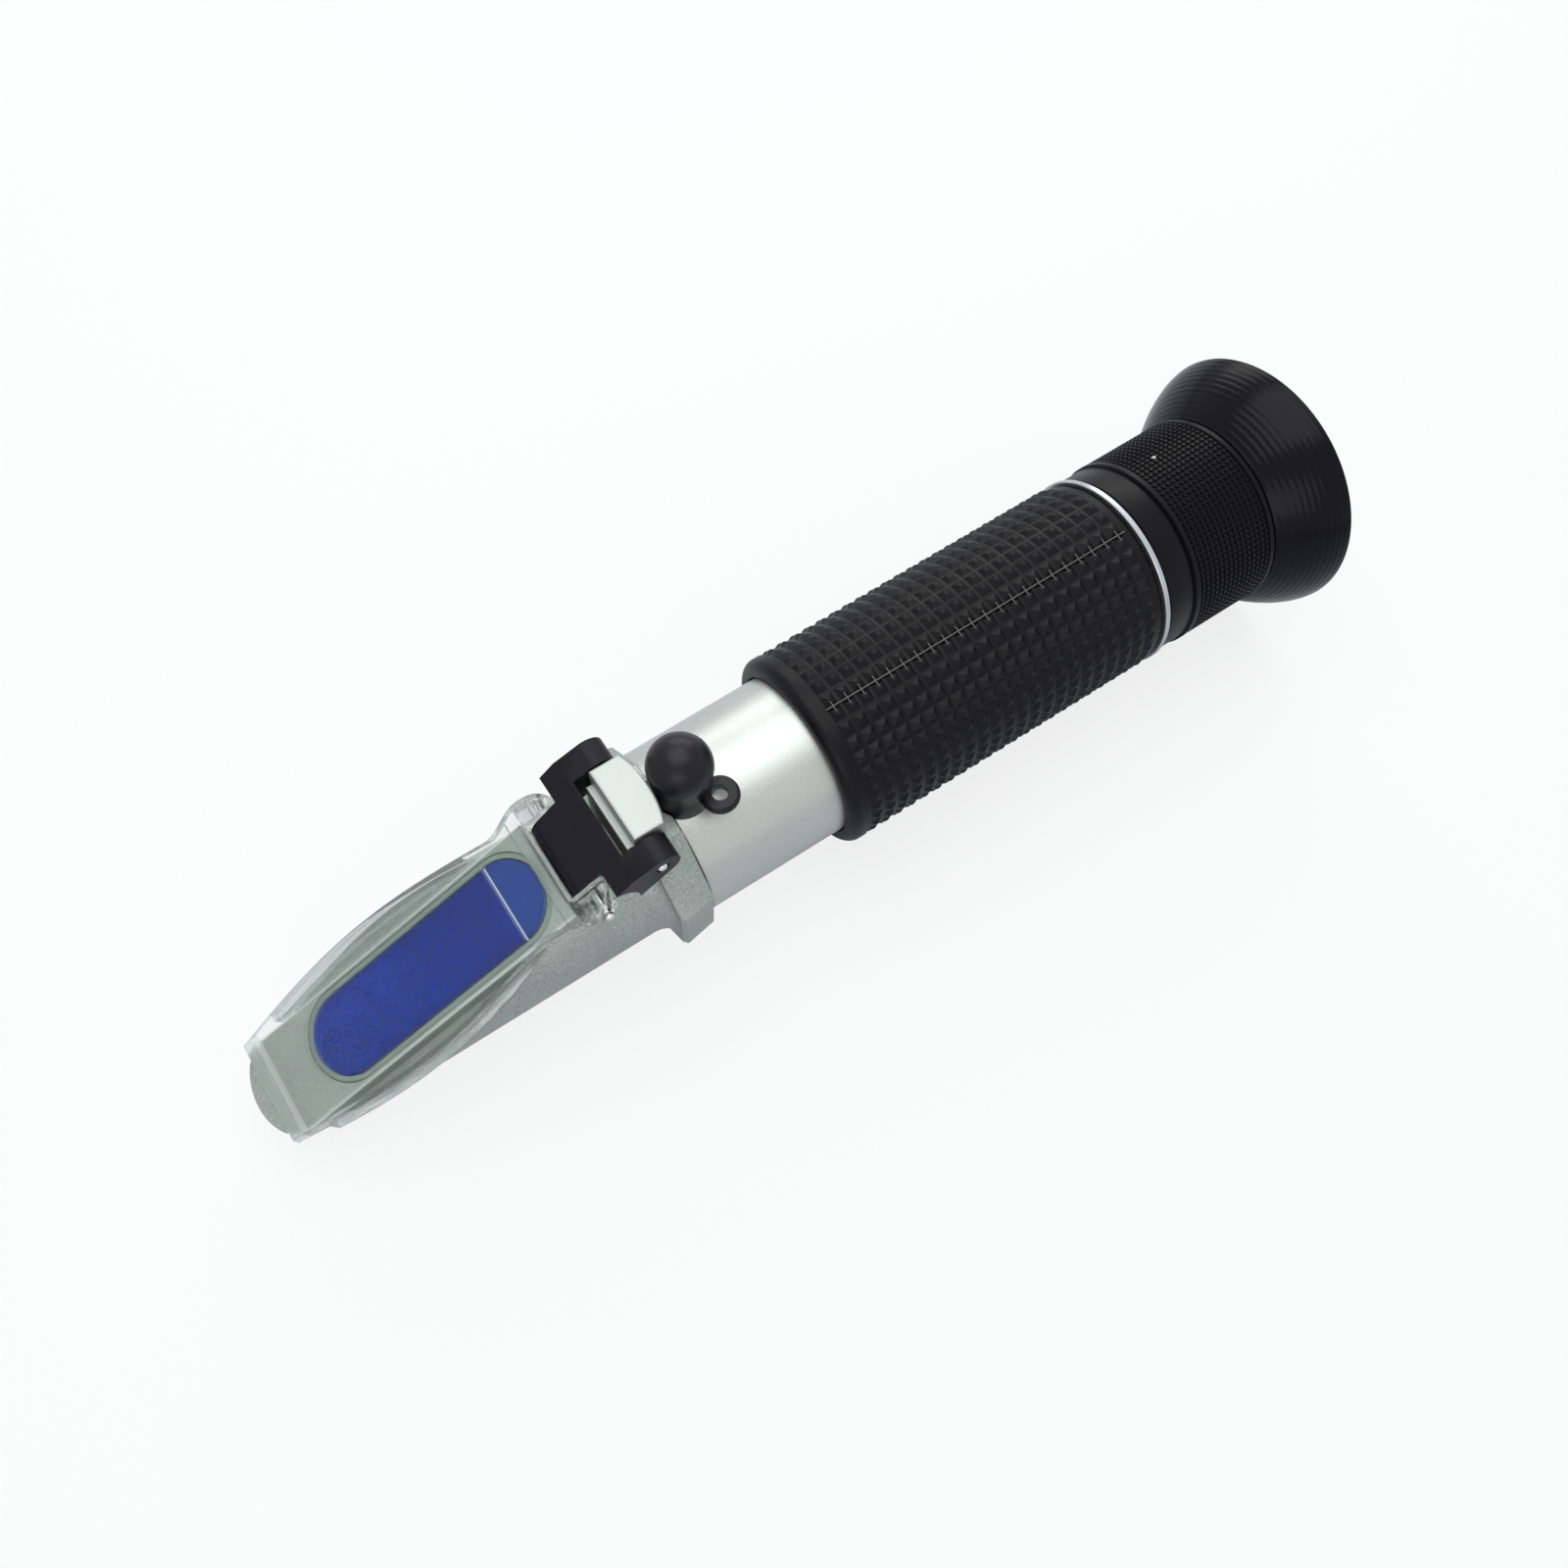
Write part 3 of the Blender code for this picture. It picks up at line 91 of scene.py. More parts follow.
# The room: a white world, seen as plain white by the camera and in reflections.
# It lights the object more weakly than it looks.
world = bpy.data.worlds.new("room")
scene.world = world
world.use_nodes = True
links = world.node_tree.links
shown = world.node_tree.nodes["Background"]
shown.inputs["Color"].default_value = (1, 1, 1, 1)
shown.inputs["Strength"].default_value = 1
ambient = world.node_tree.nodes.new("ShaderNodeBackground")
ambient.inputs["Color"].default_value = (0.93, 0.96, 1, 1)
ambient.inputs["Strength"].default_value = 0.45
ray = world.node_tree.nodes.new("ShaderNodeLightPath")
choose = world.node_tree.nodes.new("ShaderNodeMixShader")
seen = ray.outputs["Is Camera Ray"]
for other in ("Is Glossy Ray", "Is Transmission Ray"):
    either = world.node_tree.nodes.new("ShaderNodeMath")
    either.operation = "MAXIMUM"
    links.new(seen, either.inputs[0])
    links.new(ray.outputs[other], either.inputs[1])
    seen = either.outputs["Value"]
links.new(seen, choose.inputs["Fac"])
links.new(ambient.outputs["Background"], choose.inputs[1])
links.new(shown.outputs["Background"], choose.inputs[2])
links.new(choose.outputs["Shader"], world.node_tree.nodes["World Output"].inputs["Surface"])

# The floor: a pale sheet under the instrument, nearly white to the camera.
# It keeps a faint soft shadow.
floor_size = 20.0
floor_bm = bmesh.new()
bmesh.ops.create_grid(floor_bm, x_segments=1, y_segments=1, size=floor_size / 2)
floor_mesh = bpy.data.meshes.new("floor")
floor_bm.to_mesh(floor_mesh)
floor_bm.free()
floor = bpy.data.objects.new("floor", floor_mesh)
floor.location = (0, 0, cad_bounds[0][2] - 0.0002)
scene.collection.objects.link(floor)
paper = bpy.data.materials.new("floor_paper")
paper.use_nodes = True
tree = paper.node_tree
sheet = tree.nodes["Principled BSDF"]
sheet.inputs["Base Color"].default_value = (0.82, 0.83, 0.84, 1)
sheet.inputs["Roughness"].default_value = 0.9
glow = tree.nodes.new("ShaderNodeEmission")
glow.inputs["Color"].default_value = (1, 1, 1, 1)
ray = tree.nodes.new("ShaderNodeLightPath")
share = tree.nodes.new("ShaderNodeMath")
share.operation = "MULTIPLY"
share.inputs[1].default_value = 0.8
choose = tree.nodes.new("ShaderNodeMixShader")
tree.links.new(ray.outputs["Is Camera Ray"], share.inputs[0])
tree.links.new(share.outputs["Value"], choose.inputs["Fac"])
tree.links.new(sheet.outputs["BSDF"], choose.inputs[1])
tree.links.new(glow.outputs["Emission"], choose.inputs[2])
tree.links.new(choose.outputs["Shader"], tree.nodes["Material Output"].inputs["Surface"])
floor_mesh.materials.append(paper)


# Finishes shared by the pieces. A material is a Principled shader whose colour and roughness
# vary with a fine grain, and whose relief comes from the same grain through a Bump node.
def shader_group(name, inputs, outputs):
    group = bpy.data.node_groups.new(name, "ShaderNodeTree")
    for label, value in inputs:
        kind = "NodeSocketColor" if isinstance(value, tuple) else "NodeSocketFloat"
        socket = group.interface.new_socket(label, in_out="INPUT", socket_type=kind)
        socket.default_value = (*value, 1) if isinstance(value, tuple) else value
    for label, kind in outputs:
        group.interface.new_socket(label, in_out="OUTPUT", socket_type=kind)
    nodes = group.nodes
    return group, nodes.new("NodeGroupInput"), nodes.new("NodeGroupOutput")


def add_node(tree, kind, **settings):
    node = tree.nodes.new(kind)
    for key, value in settings.items():
        setattr(node, key, value)
    return node


def arithmetic(tree, operation, first, second):
    node = add_node(tree, "ShaderNodeMath", operation=operation)
    for socket, value in zip(node.inputs, (first, second)):
        if isinstance(value, (int, float)):
            socket.default_value = value
        else:
            tree.links.new(value, socket)
    return node.outputs[0]


def product(tree, first, second):
    return arithmetic(tree, "MULTIPLY", first, second)


def blend_colours(tree, factor, first, second):
    node = add_node(tree, "ShaderNodeMix", data_type="RGBA")
    for socket, value in ((node.inputs[0], factor), (node.inputs[6], first), (node.inputs[7], second)):
        if isinstance(value, tuple):
            socket.default_value = (*value, 1)
        elif isinstance(value, (int, float)):
            socket.default_value = value
        else:
            tree.links.new(value, socket)
    return node.outputs[2]


# grain: fine speckle on top of broad, soft clouding, the way cast and moulded surfaces look
grain, grain_in, grain_out = shader_group(
    "grain", [("Colour", (0.5, 0.5, 0.5)), ("Dark", (0.4, 0.4, 0.4)), ("Scale", 1500.0), ("Stretch", 1.0),
              ("Roughness", 0.4), ("Roughness Range", 0.1), ("Contrast", 1.0)],
    [("Colour", "NodeSocketColor"), ("Roughness", "NodeSocketFloat"), ("Height", "NodeSocketFloat")])
place = add_node(grain, "ShaderNodeTexCoord")
split = add_node(grain, "ShaderNodeSeparateXYZ")
grain.links.new(place.outputs["Object"], split.inputs[0])
squeezed = add_node(grain, "ShaderNodeCombineXYZ")
stretched = product(grain, split.outputs["X"], grain_in.outputs["Stretch"])
grain.links.new(stretched, squeezed.inputs["X"])
grain.links.new(split.outputs["Y"], squeezed.inputs["Y"])
grain.links.new(split.outputs["Z"], squeezed.inputs["Z"])
fine = add_node(grain, "ShaderNodeTexNoise")
fine.inputs["Detail"].default_value = 3
grain.links.new(squeezed.outputs[0], fine.inputs["Vector"])
grain.links.new(grain_in.outputs["Scale"], fine.inputs["Scale"])
broad = add_node(grain, "ShaderNodeTexNoise")
broad.inputs["Scale"].default_value = 90
broad.inputs["Detail"].default_value = 2
grain.links.new(place.outputs["Object"], broad.inputs["Vector"])
middle, fine_share, broad_share = 0.5, 0.6, 0.4
fine_offset = arithmetic(grain, "SUBTRACT", fine.outputs["Fac"], middle)
broad_offset = arithmetic(grain, "SUBTRACT", broad.outputs["Fac"], middle)
speckle = product(grain, fine_offset, fine_share)
cloud = product(grain, broad_offset, broad_share)
strong = arithmetic(grain, "ADD", product(grain, speckle, grain_in.outputs["Contrast"]), cloud)
grain.links.new(blend_colours(grain, arithmetic(grain, "ADD", strong, middle), grain_in.outputs["Dark"],
                              grain_in.outputs["Colour"]), grain_out.inputs["Colour"])
mixed = arithmetic(grain, "ADD", speckle, cloud)
spread = product(grain, mixed, grain_in.outputs["Roughness Range"])
uneven = arithmetic(grain, "ADD", spread, grain_in.outputs["Roughness"])
grain.links.new(uneven, grain_out.inputs["Roughness"])
grain.links.new(fine.outputs["Fac"], grain_out.inputs["Height"])


def grained(name, colour, dark, roughness, metallic=0.0, scale=1500.0, stretch=1.0, relief=0.00002,
            vary=0.1, contrast=1.0, **sockets):
    """A material with the grain group. Keyword values go straight onto the shader's own sockets."""
    made = bpy.data.materials.new(name)
    made.use_nodes = True
    tree = made.node_tree
    shader = tree.nodes["Principled BSDF"]
    shader.inputs["Metallic"].default_value = metallic
    for label, value in sockets.items():
        shader.inputs[label.replace("_", " ")].default_value = value
    node = add_node(tree, "ShaderNodeGroup", node_tree=grain)
    node.inputs["Colour"].default_value = (*colour, 1)
    node.inputs["Dark"].default_value = (*dark, 1)
    node.inputs["Scale"].default_value = scale
    node.inputs["Stretch"].default_value = stretch
    node.inputs["Roughness"].default_value = roughness
    node.inputs["Roughness Range"].default_value = vary
    node.inputs["Contrast"].default_value = contrast
    bump = add_node(tree, "ShaderNodeBump")
    bump.inputs["Strength"].default_value = 1
    bump.inputs["Distance"].default_value = relief
    tree.links.new(node.outputs["Colour"], shader.inputs["Base Color"])
    tree.links.new(node.outputs["Roughness"], shader.inputs["Roughness"])
    tree.links.new(node.outputs["Height"], bump.inputs["Height"])
    tree.links.new(bump.outputs["Normal"], shader.inputs["Normal"])
    return made


def dress(node, look):
    """Give a CAD node its finish, in its own material slots."""
    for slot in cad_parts[node].material_slots:
        slot.material = look


# Small metal pieces that keep their CAD shape: screws, bush, retaining ring and strip.
# Their grain is drawn out along the axis, like the marks of drawn bar and rolled strip.
bright_steel = grained("bright_steel", (0.62, 0.63, 0.64), (0.48, 0.49, 0.50), roughness=0.28,
                       metallic=1.0, scale=2500, stretch=0.2)
dark_steel = grained("dark_steel", (0.20, 0.20, 0.21), (0.13, 0.13, 0.14), roughness=0.38, metallic=1.0,
                     scale=2500, stretch=0.2)
turned_brass = grained("turned_brass", (0.72, 0.54, 0.26), (0.58, 0.42, 0.19), roughness=0.32,
                       metallic=1.0, scale=2500, stretch=0.2)
strip_metal = grained("strip_metal", (0.70, 0.60, 0.42), (0.58, 0.50, 0.36), roughness=0.36, metallic=1.0,
                      scale=1800, stretch=0.1)
for node in ("calibration_screw", "strip_screw_near", "strip_screw_far"):
    dress(node, bright_steel)
for node in ("set_screw_near", "set_screw_far", "guide_screw"):
    dress(node, dark_steel)
for node in ("calibration_bush", "reticle_retainer"):
    dress(node, turned_brass)
dress("bimetal_strip", strip_metal)

# Black pieces inside the tube: washer, holder, bush, barrel, spacer, retainer and cell.
# They are turned metal, anodised dull so that they throw no light into the view.
inner_black = grained("inner_black", (0.030, 0.030, 0.032), (0.018, 0.018, 0.020), roughness=0.6,
                      scale=2200)
for node in ("light_stop", "reticle_holder", "eyepiece_bush", "lens_barrel", "lens_spacer", "lens_retainer",
             "objective_cell"):
    dress(node, inner_black)


# Ground and polished glass: objective, reticle, field lens and eye lens.
# They are faintly blue.
def glass(name, colour, roughness, ior, **sockets):
    """A clear material whose grain is so weak that the surface stays polished."""
    shade_share = 0.96
    return grained(name, colour, tuple(shade_share * c for c in colour), roughness, scale=900,
                   relief=0.0000002, vary=0.01, Transmission_Weight=1, IOR=ior, **sockets)


lens_glass = glass("lens_glass", (0.90, 0.94, 0.97), roughness=0.03, ior=1.5)
for node in ("objective_lens", "reticle_glass", "field_lens", "eye_lens"):
    dress(node, lens_glass)


# Prism box: one alloy casting, 76 mm long with its spigot, 22 mm round, cut away at 24 degrees
# for the prism. It widens in a hollow curve to an eight-sided flange, with a hinge lug on top.
# Satin grey-green with a fine blasted grain.
axis_height = 0.0145
slope = math.radians(24.16)
plate_pin_x, plate_pin_rise, plate_pin_bore = -0.0111, 0.0123, 0.00077
lug_pin_x, lug_pin_rise, lug_pin_bore = -0.0026, 0.0174, 0.00095
on_axis = Matrix.Translation((0, 0, axis_height))
plate_pin_place = Matrix.Translation((plate_pin_x, 0, axis_height + plate_pin_rise))
face_frame = plate_pin_place @ Matrix.Rotation(-slope, 4, "Y")
face_lift = 0.0014
box_end, box_radius, nose_round = 0.0651, 0.0111, 0.0012
flare_front, flare_length, flare_rise = -0.0027, 0.003, 0.002
root_radius = 0.0131
table_half, table_end, table_length, table_depth, step_overlap = 0.0074, 0.00332, 0.018, 0.0045, 0.0003
flange_reach, flange_rear, flange_flat, flange_top_half = 0.014, 0.0027, 0.0055, 0.0056
flange_chamfer, flange_draft, fine_edge = 0.0006, 0.0008, 0.00015
ledge_reach, ledge_half, ledge_rear, ledge_foot, ledge_top = 0.0052, 0.0052, -0.0039, 0.0088, 0.0172
lug_reach, lug_half, lug_rear, lug_rear_radius = 0.0042, 0.0056, 0.0014, 0.0147
lug_bottom, lug_top, lug_crown = 0.0091, 0.0204, ((0.0005, 0), (0.00018, 0.00012), (0, 0.00045))
pocket_half, pocket_depth, overrun = 0.0069, 0.0048, 0.002
tunnel_end, tunnel_radius, cell_room_end, cell_room_radius = -0.03, 0.0055, -0.005, 0.009
screw_x, bush_bore, bush_foot, cap_foot, cap_room_radius = 0.0059, 0.00205, 0.0055, 0.0115, 0.0045
clear_above, pin_room_half = 0.02, 0.0097
spigot_radius, spigot_end, past_spigot = 0.0112, 0.011, 0.013


def loft(loops, bm=None):
    """Close loops of equal point counts into a solid."""
    bm = bm or bmesh.new()
    rows = [[bm.verts.new(p) for p in loop] for loop in loops]
    for low, high in zip(rows, rows[1:]):
        for i in range(len(low)):
            j = (i + 1) % len(low)
            bm.faces.new((low[i], low[j], high[j], high[i]))
    bm.faces.new(rows[0][::-1])
    bm.faces.new(rows[-1])
    return bm


def turned(outline, steps=160):
    """Spin a closed outline of (x, radius) points round the optical axis."""
    bm = bmesh.new()
    points = [bm.verts.new((x, 0, r)) for x, r in outline]
    pairs = zip(points, points[1:] + points[:1])
    edges = [bm.edges.new(pair) for pair in pairs if pair[0].co.z or pair[1].co.z]
    bmesh.ops.spin(bm, geom=points + edges, cent=(0, 0, 0), axis=(1, 0, 0), dvec=(0, 0, 0),
                   angle=2 * math.pi, steps=steps, use_merge=True)
    return bm


def rod(start, direction, sections, steps=96):
    """A round solid from a start along a direction, through (distance, radius) sections."""
    along = Vector(direction).normalized()
    side = along.orthogonal().normalized()
    other = along.cross(side)
    turns = [2 * math.pi * i / steps for i in range(steps)]
    return loft([[Vector(start) + along * d + (side * math.cos(a) + other * math.sin(a)) * r for a in turns]
                 for d, r in sections])


def bore(start, direction, length, radius, steps=48):
    return rod(start, direction, [(0, radius), (length, radius)], steps)


def upright(outline, low, high):
    """Extrude an (x, y) outline between two heights."""
    return loft([[(x, y, z) for x, y in outline] for z in (low, high)])


def across(outline, half):
    """Extrude an (x, z) outline to both sides."""
    return loft([[(x, y, z) for x, z in outline] for y in (-half, half)])


def arc(centre, radius, first, last, steps=24):
    turns = [math.radians(first + (last - first) * i / steps) for i in range(steps + 1)]
    return [(centre[0] + radius * math.cos(a), centre[1] + radius * math.sin(a)) for a in turns]


def rectangle(x0, x1, half):
    return [(x0, -half), (x1, -half), (x1, half), (x0, half)]


def flat_rectangle(x0, x1, half, z):
    return [(x, y, z) for x, y in rectangle(x0, x1, half)]


def solid(name, bm, place=on_axis, look=None, sharp=35):
    """Turn a bmesh into an object whose place is in its mesh."""
    bm.transform(place)
    bmesh.ops.remove_doubles(bm, verts=bm.verts, dist=0.000001)
    bmesh.ops.recalc_face_normals(bm, faces=bm.faces)
    mesh = bpy.data.meshes.new(name)
    bm.to_mesh(mesh)
    bm.free()
    mesh.shade_smooth()
    mesh.set_sharp_from_angle(angle=math.radians(sharp))
    made = bpy.data.objects.new(name, mesh)
    scene.collection.objects.link(made)
    if look:
        mesh.materials.append(look)
    return made


def combine(target, shapes, operation="DIFFERENCE"):
    for shape in shapes:
        boolean = target.modifiers.new(shape.name, "BOOLEAN")
        boolean.operation = operation
        boolean.solver = "EXACT"
        boolean.object = shape


def soften(target, width, segments=2, angle=30):
    bevel = target.modifiers.new("bevel", "BEVEL")
    bevel.width = width
    bevel.segments = segments
    bevel.limit_method = "ANGLE"
    bevel.angle_limit = math.radians(angle)


def settle(target, sharp=35):
    """Put what the modifiers make into the piece's own mesh, and drop the shapes that cut it."""
    helpers = [m.object for m in target.modifiers if m.type == "BOOLEAN"]
    deps = bpy.context.evaluated_depsgraph_get()
    mesh = bpy.data.meshes.new_from_object(target.evaluated_get(deps), depsgraph=deps)
    target.modifiers.clear()
    target.data = mesh
    for helper in helpers:
        bpy.data.objects.remove(helper)
    mesh.shade_smooth()
    mesh.set_sharp_from_angle(angle=math.radians(sharp))
    weighed = target.modifiers.new("normals", "WEIGHTED_NORMAL")
    weighed.keep_sharp = True
    weighed.weight = 100
    deps = bpy.context.evaluated_depsgraph_get()
    mesh = bpy.data.meshes.new_from_object(target.evaluated_get(deps), depsgraph=deps)
    target.modifiers.clear()
    target.data = mesh
    return target


def fit(piece, body, slot, *nodes):
    """The piece moves with a body of the model and stands in for its nodes."""
    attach(piece, body)
    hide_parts(*nodes)
    return piece


def stadium(half, rear=0.01072, front=0.04014, steps=32):
    """Plan of the window and its bead: straight sides with round ends, down the sloping face."""
    return arc((-rear, 0), half, -90, 90, steps) + arc((-front, 0), half, 90, 270, steps)


def slope_point(down):
    """Place (x, height over the axis) of the sloping face at a distance down from the plate's pin."""
    spot = face_frame @ Vector((-down, 0, face_lift))
    return spot.x, spot.z - axis_height


def flange_loop(x, inset, draft=0.0):
    """The flange's outline: eight corners, its flat foot at the bottom."""
    side = inset + draft - flange_reach
    right = [(-flange_flat, inset - axis_height), (side, -flange_flat), (side, flange_flat),
             (-flange_top_half, flange_reach - inset)]
    return [(x, y, z) for y, z in right] + [(x, -y, z) for y, z in reversed(right)]


def lug_loop(z, inset):
    """The lug's outline: straight in front and at the sides, rounded behind."""
    front, half, radius = inset - lug_reach, lug_half - inset, lug_rear_radius - inset
    spread = math.degrees(math.asin(half / radius))
    rear = arc((lug_rear - lug_rear_radius, 0), radius, -spread, spread, 16)
    return [(x, y, z) for x, y in rear + [(front, half), (front, -half)]]


def opened(material):
    """The nodes of a grained material, its shader and the colour that its grain puts out."""
    tree = material.node_tree
    shader = tree.nodes["Principled BSDF"]
    return tree, shader, shader.inputs["Base Color"].links[0].from_socket


def slope_places(tree):
    """Distance down the slope from the plate's pin, distance aside and height, from Object coordinates."""
    place = add_node(tree, "ShaderNodeTexCoord")
    shifted = add_node(tree, "ShaderNodeVectorMath", operation="SUBTRACT")
    shifted.inputs[1].default_value = face_frame.translation
    tree.links.new(place.outputs["Object"], shifted.inputs[0])
    measured = []
    down_slope = (-math.cos(slope), 0, -math.sin(slope))
    off_slope = (-math.sin(slope), 0, math.cos(slope))
    for direction in (down_slope, (0, 1, 0), off_slope):
        along = add_node(tree, "ShaderNodeVectorMath", operation="DOT_PRODUCT")
        along.inputs[1].default_value = direction
        tree.links.new(shifted.outputs[0], along.inputs[0])
        measured.append(along.outputs["Value"])
    return measured[0], arithmetic(tree, "ABSOLUTE", measured[1], 0), measured[2]


def ramp(tree, value, low, high, from_low=0.0, to_high=1.0):
    node = add_node(tree, "ShaderNodeMapRange", interpolation_type="SMOOTHSTEP")
    tree.links.new(value, node.inputs["Value"])
    for label, number in (("From Min", low), ("From Max", high), ("To Min", from_low), ("To Max", to_high)):
        node.inputs[label].default_value = number
    return node.outputs["Result"]


# The blasted alloy: pale grains a third of a millimetre across over a softer clouding.
# The sloping table's rims are bright lines of painted highlight, the steps beside it get painted shade, and
# the lug's upper part gets a paler painted highlight.
cast_alloy = grained("cast_alloy", (0.49, 0.545, 0.515), (0.16, 0.185, 0.175), roughness=0.44,
                     metallic=0.70, scale=3300, vary=0.16, contrast=1.8)
tree, shader, coloured = opened(cast_alloy)
down, aside, lift = slope_places(tree)
# Colours of the painted highlight on the rims, the painted shade on the steps and the painted highlight on
# the lug.
rim_painted_highlight, step_shade, lug_painted_highlight = (0.72, 0.78, 0.75), (0.16, 0.19, 0.18), (0.39, 0.42, 0.405)
step_share, lug_share = 0.15, 0.85
rim_aside, rim_lift = (0.00715, 0.0073), (0.0010, 0.0012)
plate_down, top_lift = (0.0025, 0.0035), (0.0016, 0.0015)
step_aside, step_lift = (table_half, 0.0076), (-0.0008, -0.0005)
lug_rise = (0.0300, 0.0318)
rim = product(tree, ramp(tree, aside, *rim_aside), ramp(tree, lift, *rim_lift))
under_plate = product(tree, ramp(tree, down, *plate_down), ramp(tree, lift, *top_lift))
# Painted shade: the steps beside the table are blended toward a dark colour.
beside = product(tree, ramp(tree, aside, *step_aside), ramp(tree, lift, *step_lift))
coloured = blend_colours(tree, product(tree, beside, step_share), coloured, step_shade)
# Painted highlight: the table's rounded side rims are blended toward a bright colour.
coloured = blend_colours(tree, product(tree, rim, under_plate), coloured, rim_painted_highlight)
# Painted highlight: the lug above a set height is blended toward a paler colour, as if lit from overhead.
upper = add_node(tree, "ShaderNodeSeparateXYZ")
tree.links.new(add_node(tree, "ShaderNodeTexCoord").outputs["Object"], upper.inputs[0])
on_lug = ramp(tree, upper.outputs["Z"], *lug_rise, to_high=lug_share)
coloured = blend_colours(tree, on_lug, coloured, lug_painted_highlight)
tree.links.new(coloured, shader.inputs["Base Color"])
flare = [(flare_front - flare_length * (1 - math.sin(a)), box_radius + flare_rise * (1 - math.cos(a)))
         for a in [math.radians(90 * i / 12) for i in range(13)]]
nose = arc((nose_round - box_end, box_radius - nose_round), nose_round, 180, 90, 8)
box_outline = [(-box_end, 0)] + nose + flare
box_outline += [(0, root_radius), (0, spigot_radius), (spigot_end, spigot_radius), (spigot_end, 0)]
box = solid("prism_casting", turned(box_outline), look=cast_alloy)
table_plan = rectangle(-table_length, step_overlap - table_end, table_half)
table = solid("table", upright(table_plan, face_lift - table_depth, face_lift + overrun), face_frame)
flange = solid("flange", loft([flange_loop(flare_front, flange_chamfer),
                               flange_loop(flare_front + flange_chamfer, 0),
                               flange_loop(flange_rear - fine_edge, 0, flange_draft),
                               flange_loop(flange_rear, fine_edge, flange_draft)]))
ledge_levels = ((ledge_foot, 0), (ledge_top - fine_edge, 0), (ledge_top, fine_edge))
ledge = solid("ledge", loft([flat_rectangle(inset - ledge_reach, ledge_rear, ledge_half - inset, z)
                             for z, inset in ledge_levels]))
lug = solid("lug", loft([lug_loop(lug_bottom, 0)] + [lug_loop(lug_top - drop, inset)
                                                     for drop, inset in lug_crown]))
combine(box, (table, flange, ledge, lug), "UNION")
corner = slope_point(table_end)
past_slope = 0.0713
cut_end = slope_point(past_slope)
lug_foot, lug_front, over_box = 0.0092, -0.0055, 0.0224
slope_section = [cut_end, corner, (corner[0] + (corner[1] - lug_foot) * math.tan(slope), lug_foot),
                 (lug_front, lug_foot), (lug_front, over_box), (cut_end[0], over_box)]
slope_cut = solid("slope_cut", across(slope_section, root_radius))
flanks = bmesh.new()
shelf_half, shelf_lift, over_flank = 0.0078, -0.0004, 0.0034
for side in (-1, 1):
    section = [(table_half, over_flank), (table_half, face_lift), (shelf_half, shelf_lift),
               (root_radius, shelf_lift), (root_radius, over_flank)]
    loft([[(x, side * y, z) for y, z in section] for x in (-box_end, 0)], flanks)
flank_cut = solid("flank_cut", flanks, face_frame)
turns = [math.radians(-90 + 180 * i / 40) for i in range(41)]
nose_start, nose_length, nose_half, past_nose = -0.0582, 0.00676, 0.0084, -0.0671
nose_plan = [(past_nose, -root_radius), (nose_start, -root_radius)]
nose_plan += [(nose_start - nose_length * math.cos(a), nose_half * math.sin(a)) for a in turns]
nose_plan += [(nose_start, root_radius), (past_nose, root_radius)]
nose_cut = solid("nose_cut", upright(nose_plan, -root_radius, root_radius))
pocket = solid("pocket", upright(stadium(pocket_half), face_lift - pocket_depth, face_lift + overrun),
               face_frame)
tunnel = solid("tunnel", turned([(tunnel_end, 0), (tunnel_end, tunnel_radius), (cell_room_end, tunnel_radius),
                                 (cell_room_end, cell_room_radius), (past_spigot, cell_room_radius),
                                 (past_spigot, 0)]))
cap_room = solid("cap_room", bore((screw_x, 0, cap_foot), (0, 0, 1), clear_above, cap_room_radius,
                                  steps=96))
bush_room = solid("bush_room", bore((screw_x, 0, bush_foot), (0, 0, 1), clear_above, bush_bore))
pin_room = solid("pin_room", bore((lug_pin_x, -pin_room_half, lug_pin_rise), (0, 1, 0), 2 * pin_room_half,
                                  lug_pin_bore))
combine(box, (slope_cut, flank_cut, nose_cut, pocket, tunnel, cap_room, bush_room, pin_room))
soften(box, width=0.00012)
settle(box)
fit(box, "housing", "box_alloy", "prism_box")


# Measuring prism: a blue-tinted block with a stadium face, 11.8 mm wide and 41 mm long, polished.
# One fine white line crosses it 10.7 mm down the slope, and it is lighter blue behind the line.
# Colour follows the distance down the slope, with a fine frosted mottling.
prism_half, prism_depth = 0.0059, 0.0045
prism_blue = grained("prism_blue", (0.006, 0.055, 0.50), (0.001, 0.006, 0.04), roughness=0.22, scale=3300,
                     relief=0.000004, contrast=4.0, Specular_IOR_Level=0.15)
tree, shader, coloured = opened(prism_blue)
down, aside, _ = slope_places(tree)
lighter_blue, deep_blue, edge_blue = (0.035, 0.115, 0.40), (0.018, 0.022, 0.12), (0.010, 0.016, 0.09)
lighter_share, deep_share, edge_share = 0.55, 0.35, 0.5
behind_line, front_fade, edge_fade = (0.0112, 0.0100), (0.0108, 0.0300), (0.0045, prism_half)
line_place, line_edges, line_white = 0.01075, (0.00013, 0.00009), (0.70, 0.76, 0.84)
behind = product(tree, ramp(tree, down, *behind_line), lighter_share)
coloured = blend_colours(tree, behind, coloured, lighter_blue)
coloured = blend_colours(tree, ramp(tree, down, *front_fade, deep_share, 0.0), coloured, deep_blue)
coloured = blend_colours(tree, ramp(tree, aside, *edge_fade, 0.0, edge_share), coloured, edge_blue)
off_line = arithmetic(tree, "ABSOLUTE", arithmetic(tree, "SUBTRACT", down, line_place), 0)
coloured = blend_colours(tree, ramp(tree, off_line, *line_edges), coloured, line_white)
tree.links.new(coloured, shader.inputs["Base Color"])
prism = solid("blue_prism", upright(stadium(prism_half), face_lift - prism_depth, face_lift), face_frame,
              prism_blue)
soften(prism, width=0.00015)
settle(prism)
fit(prism, "housing", "prism_blue", "measuring_prism")

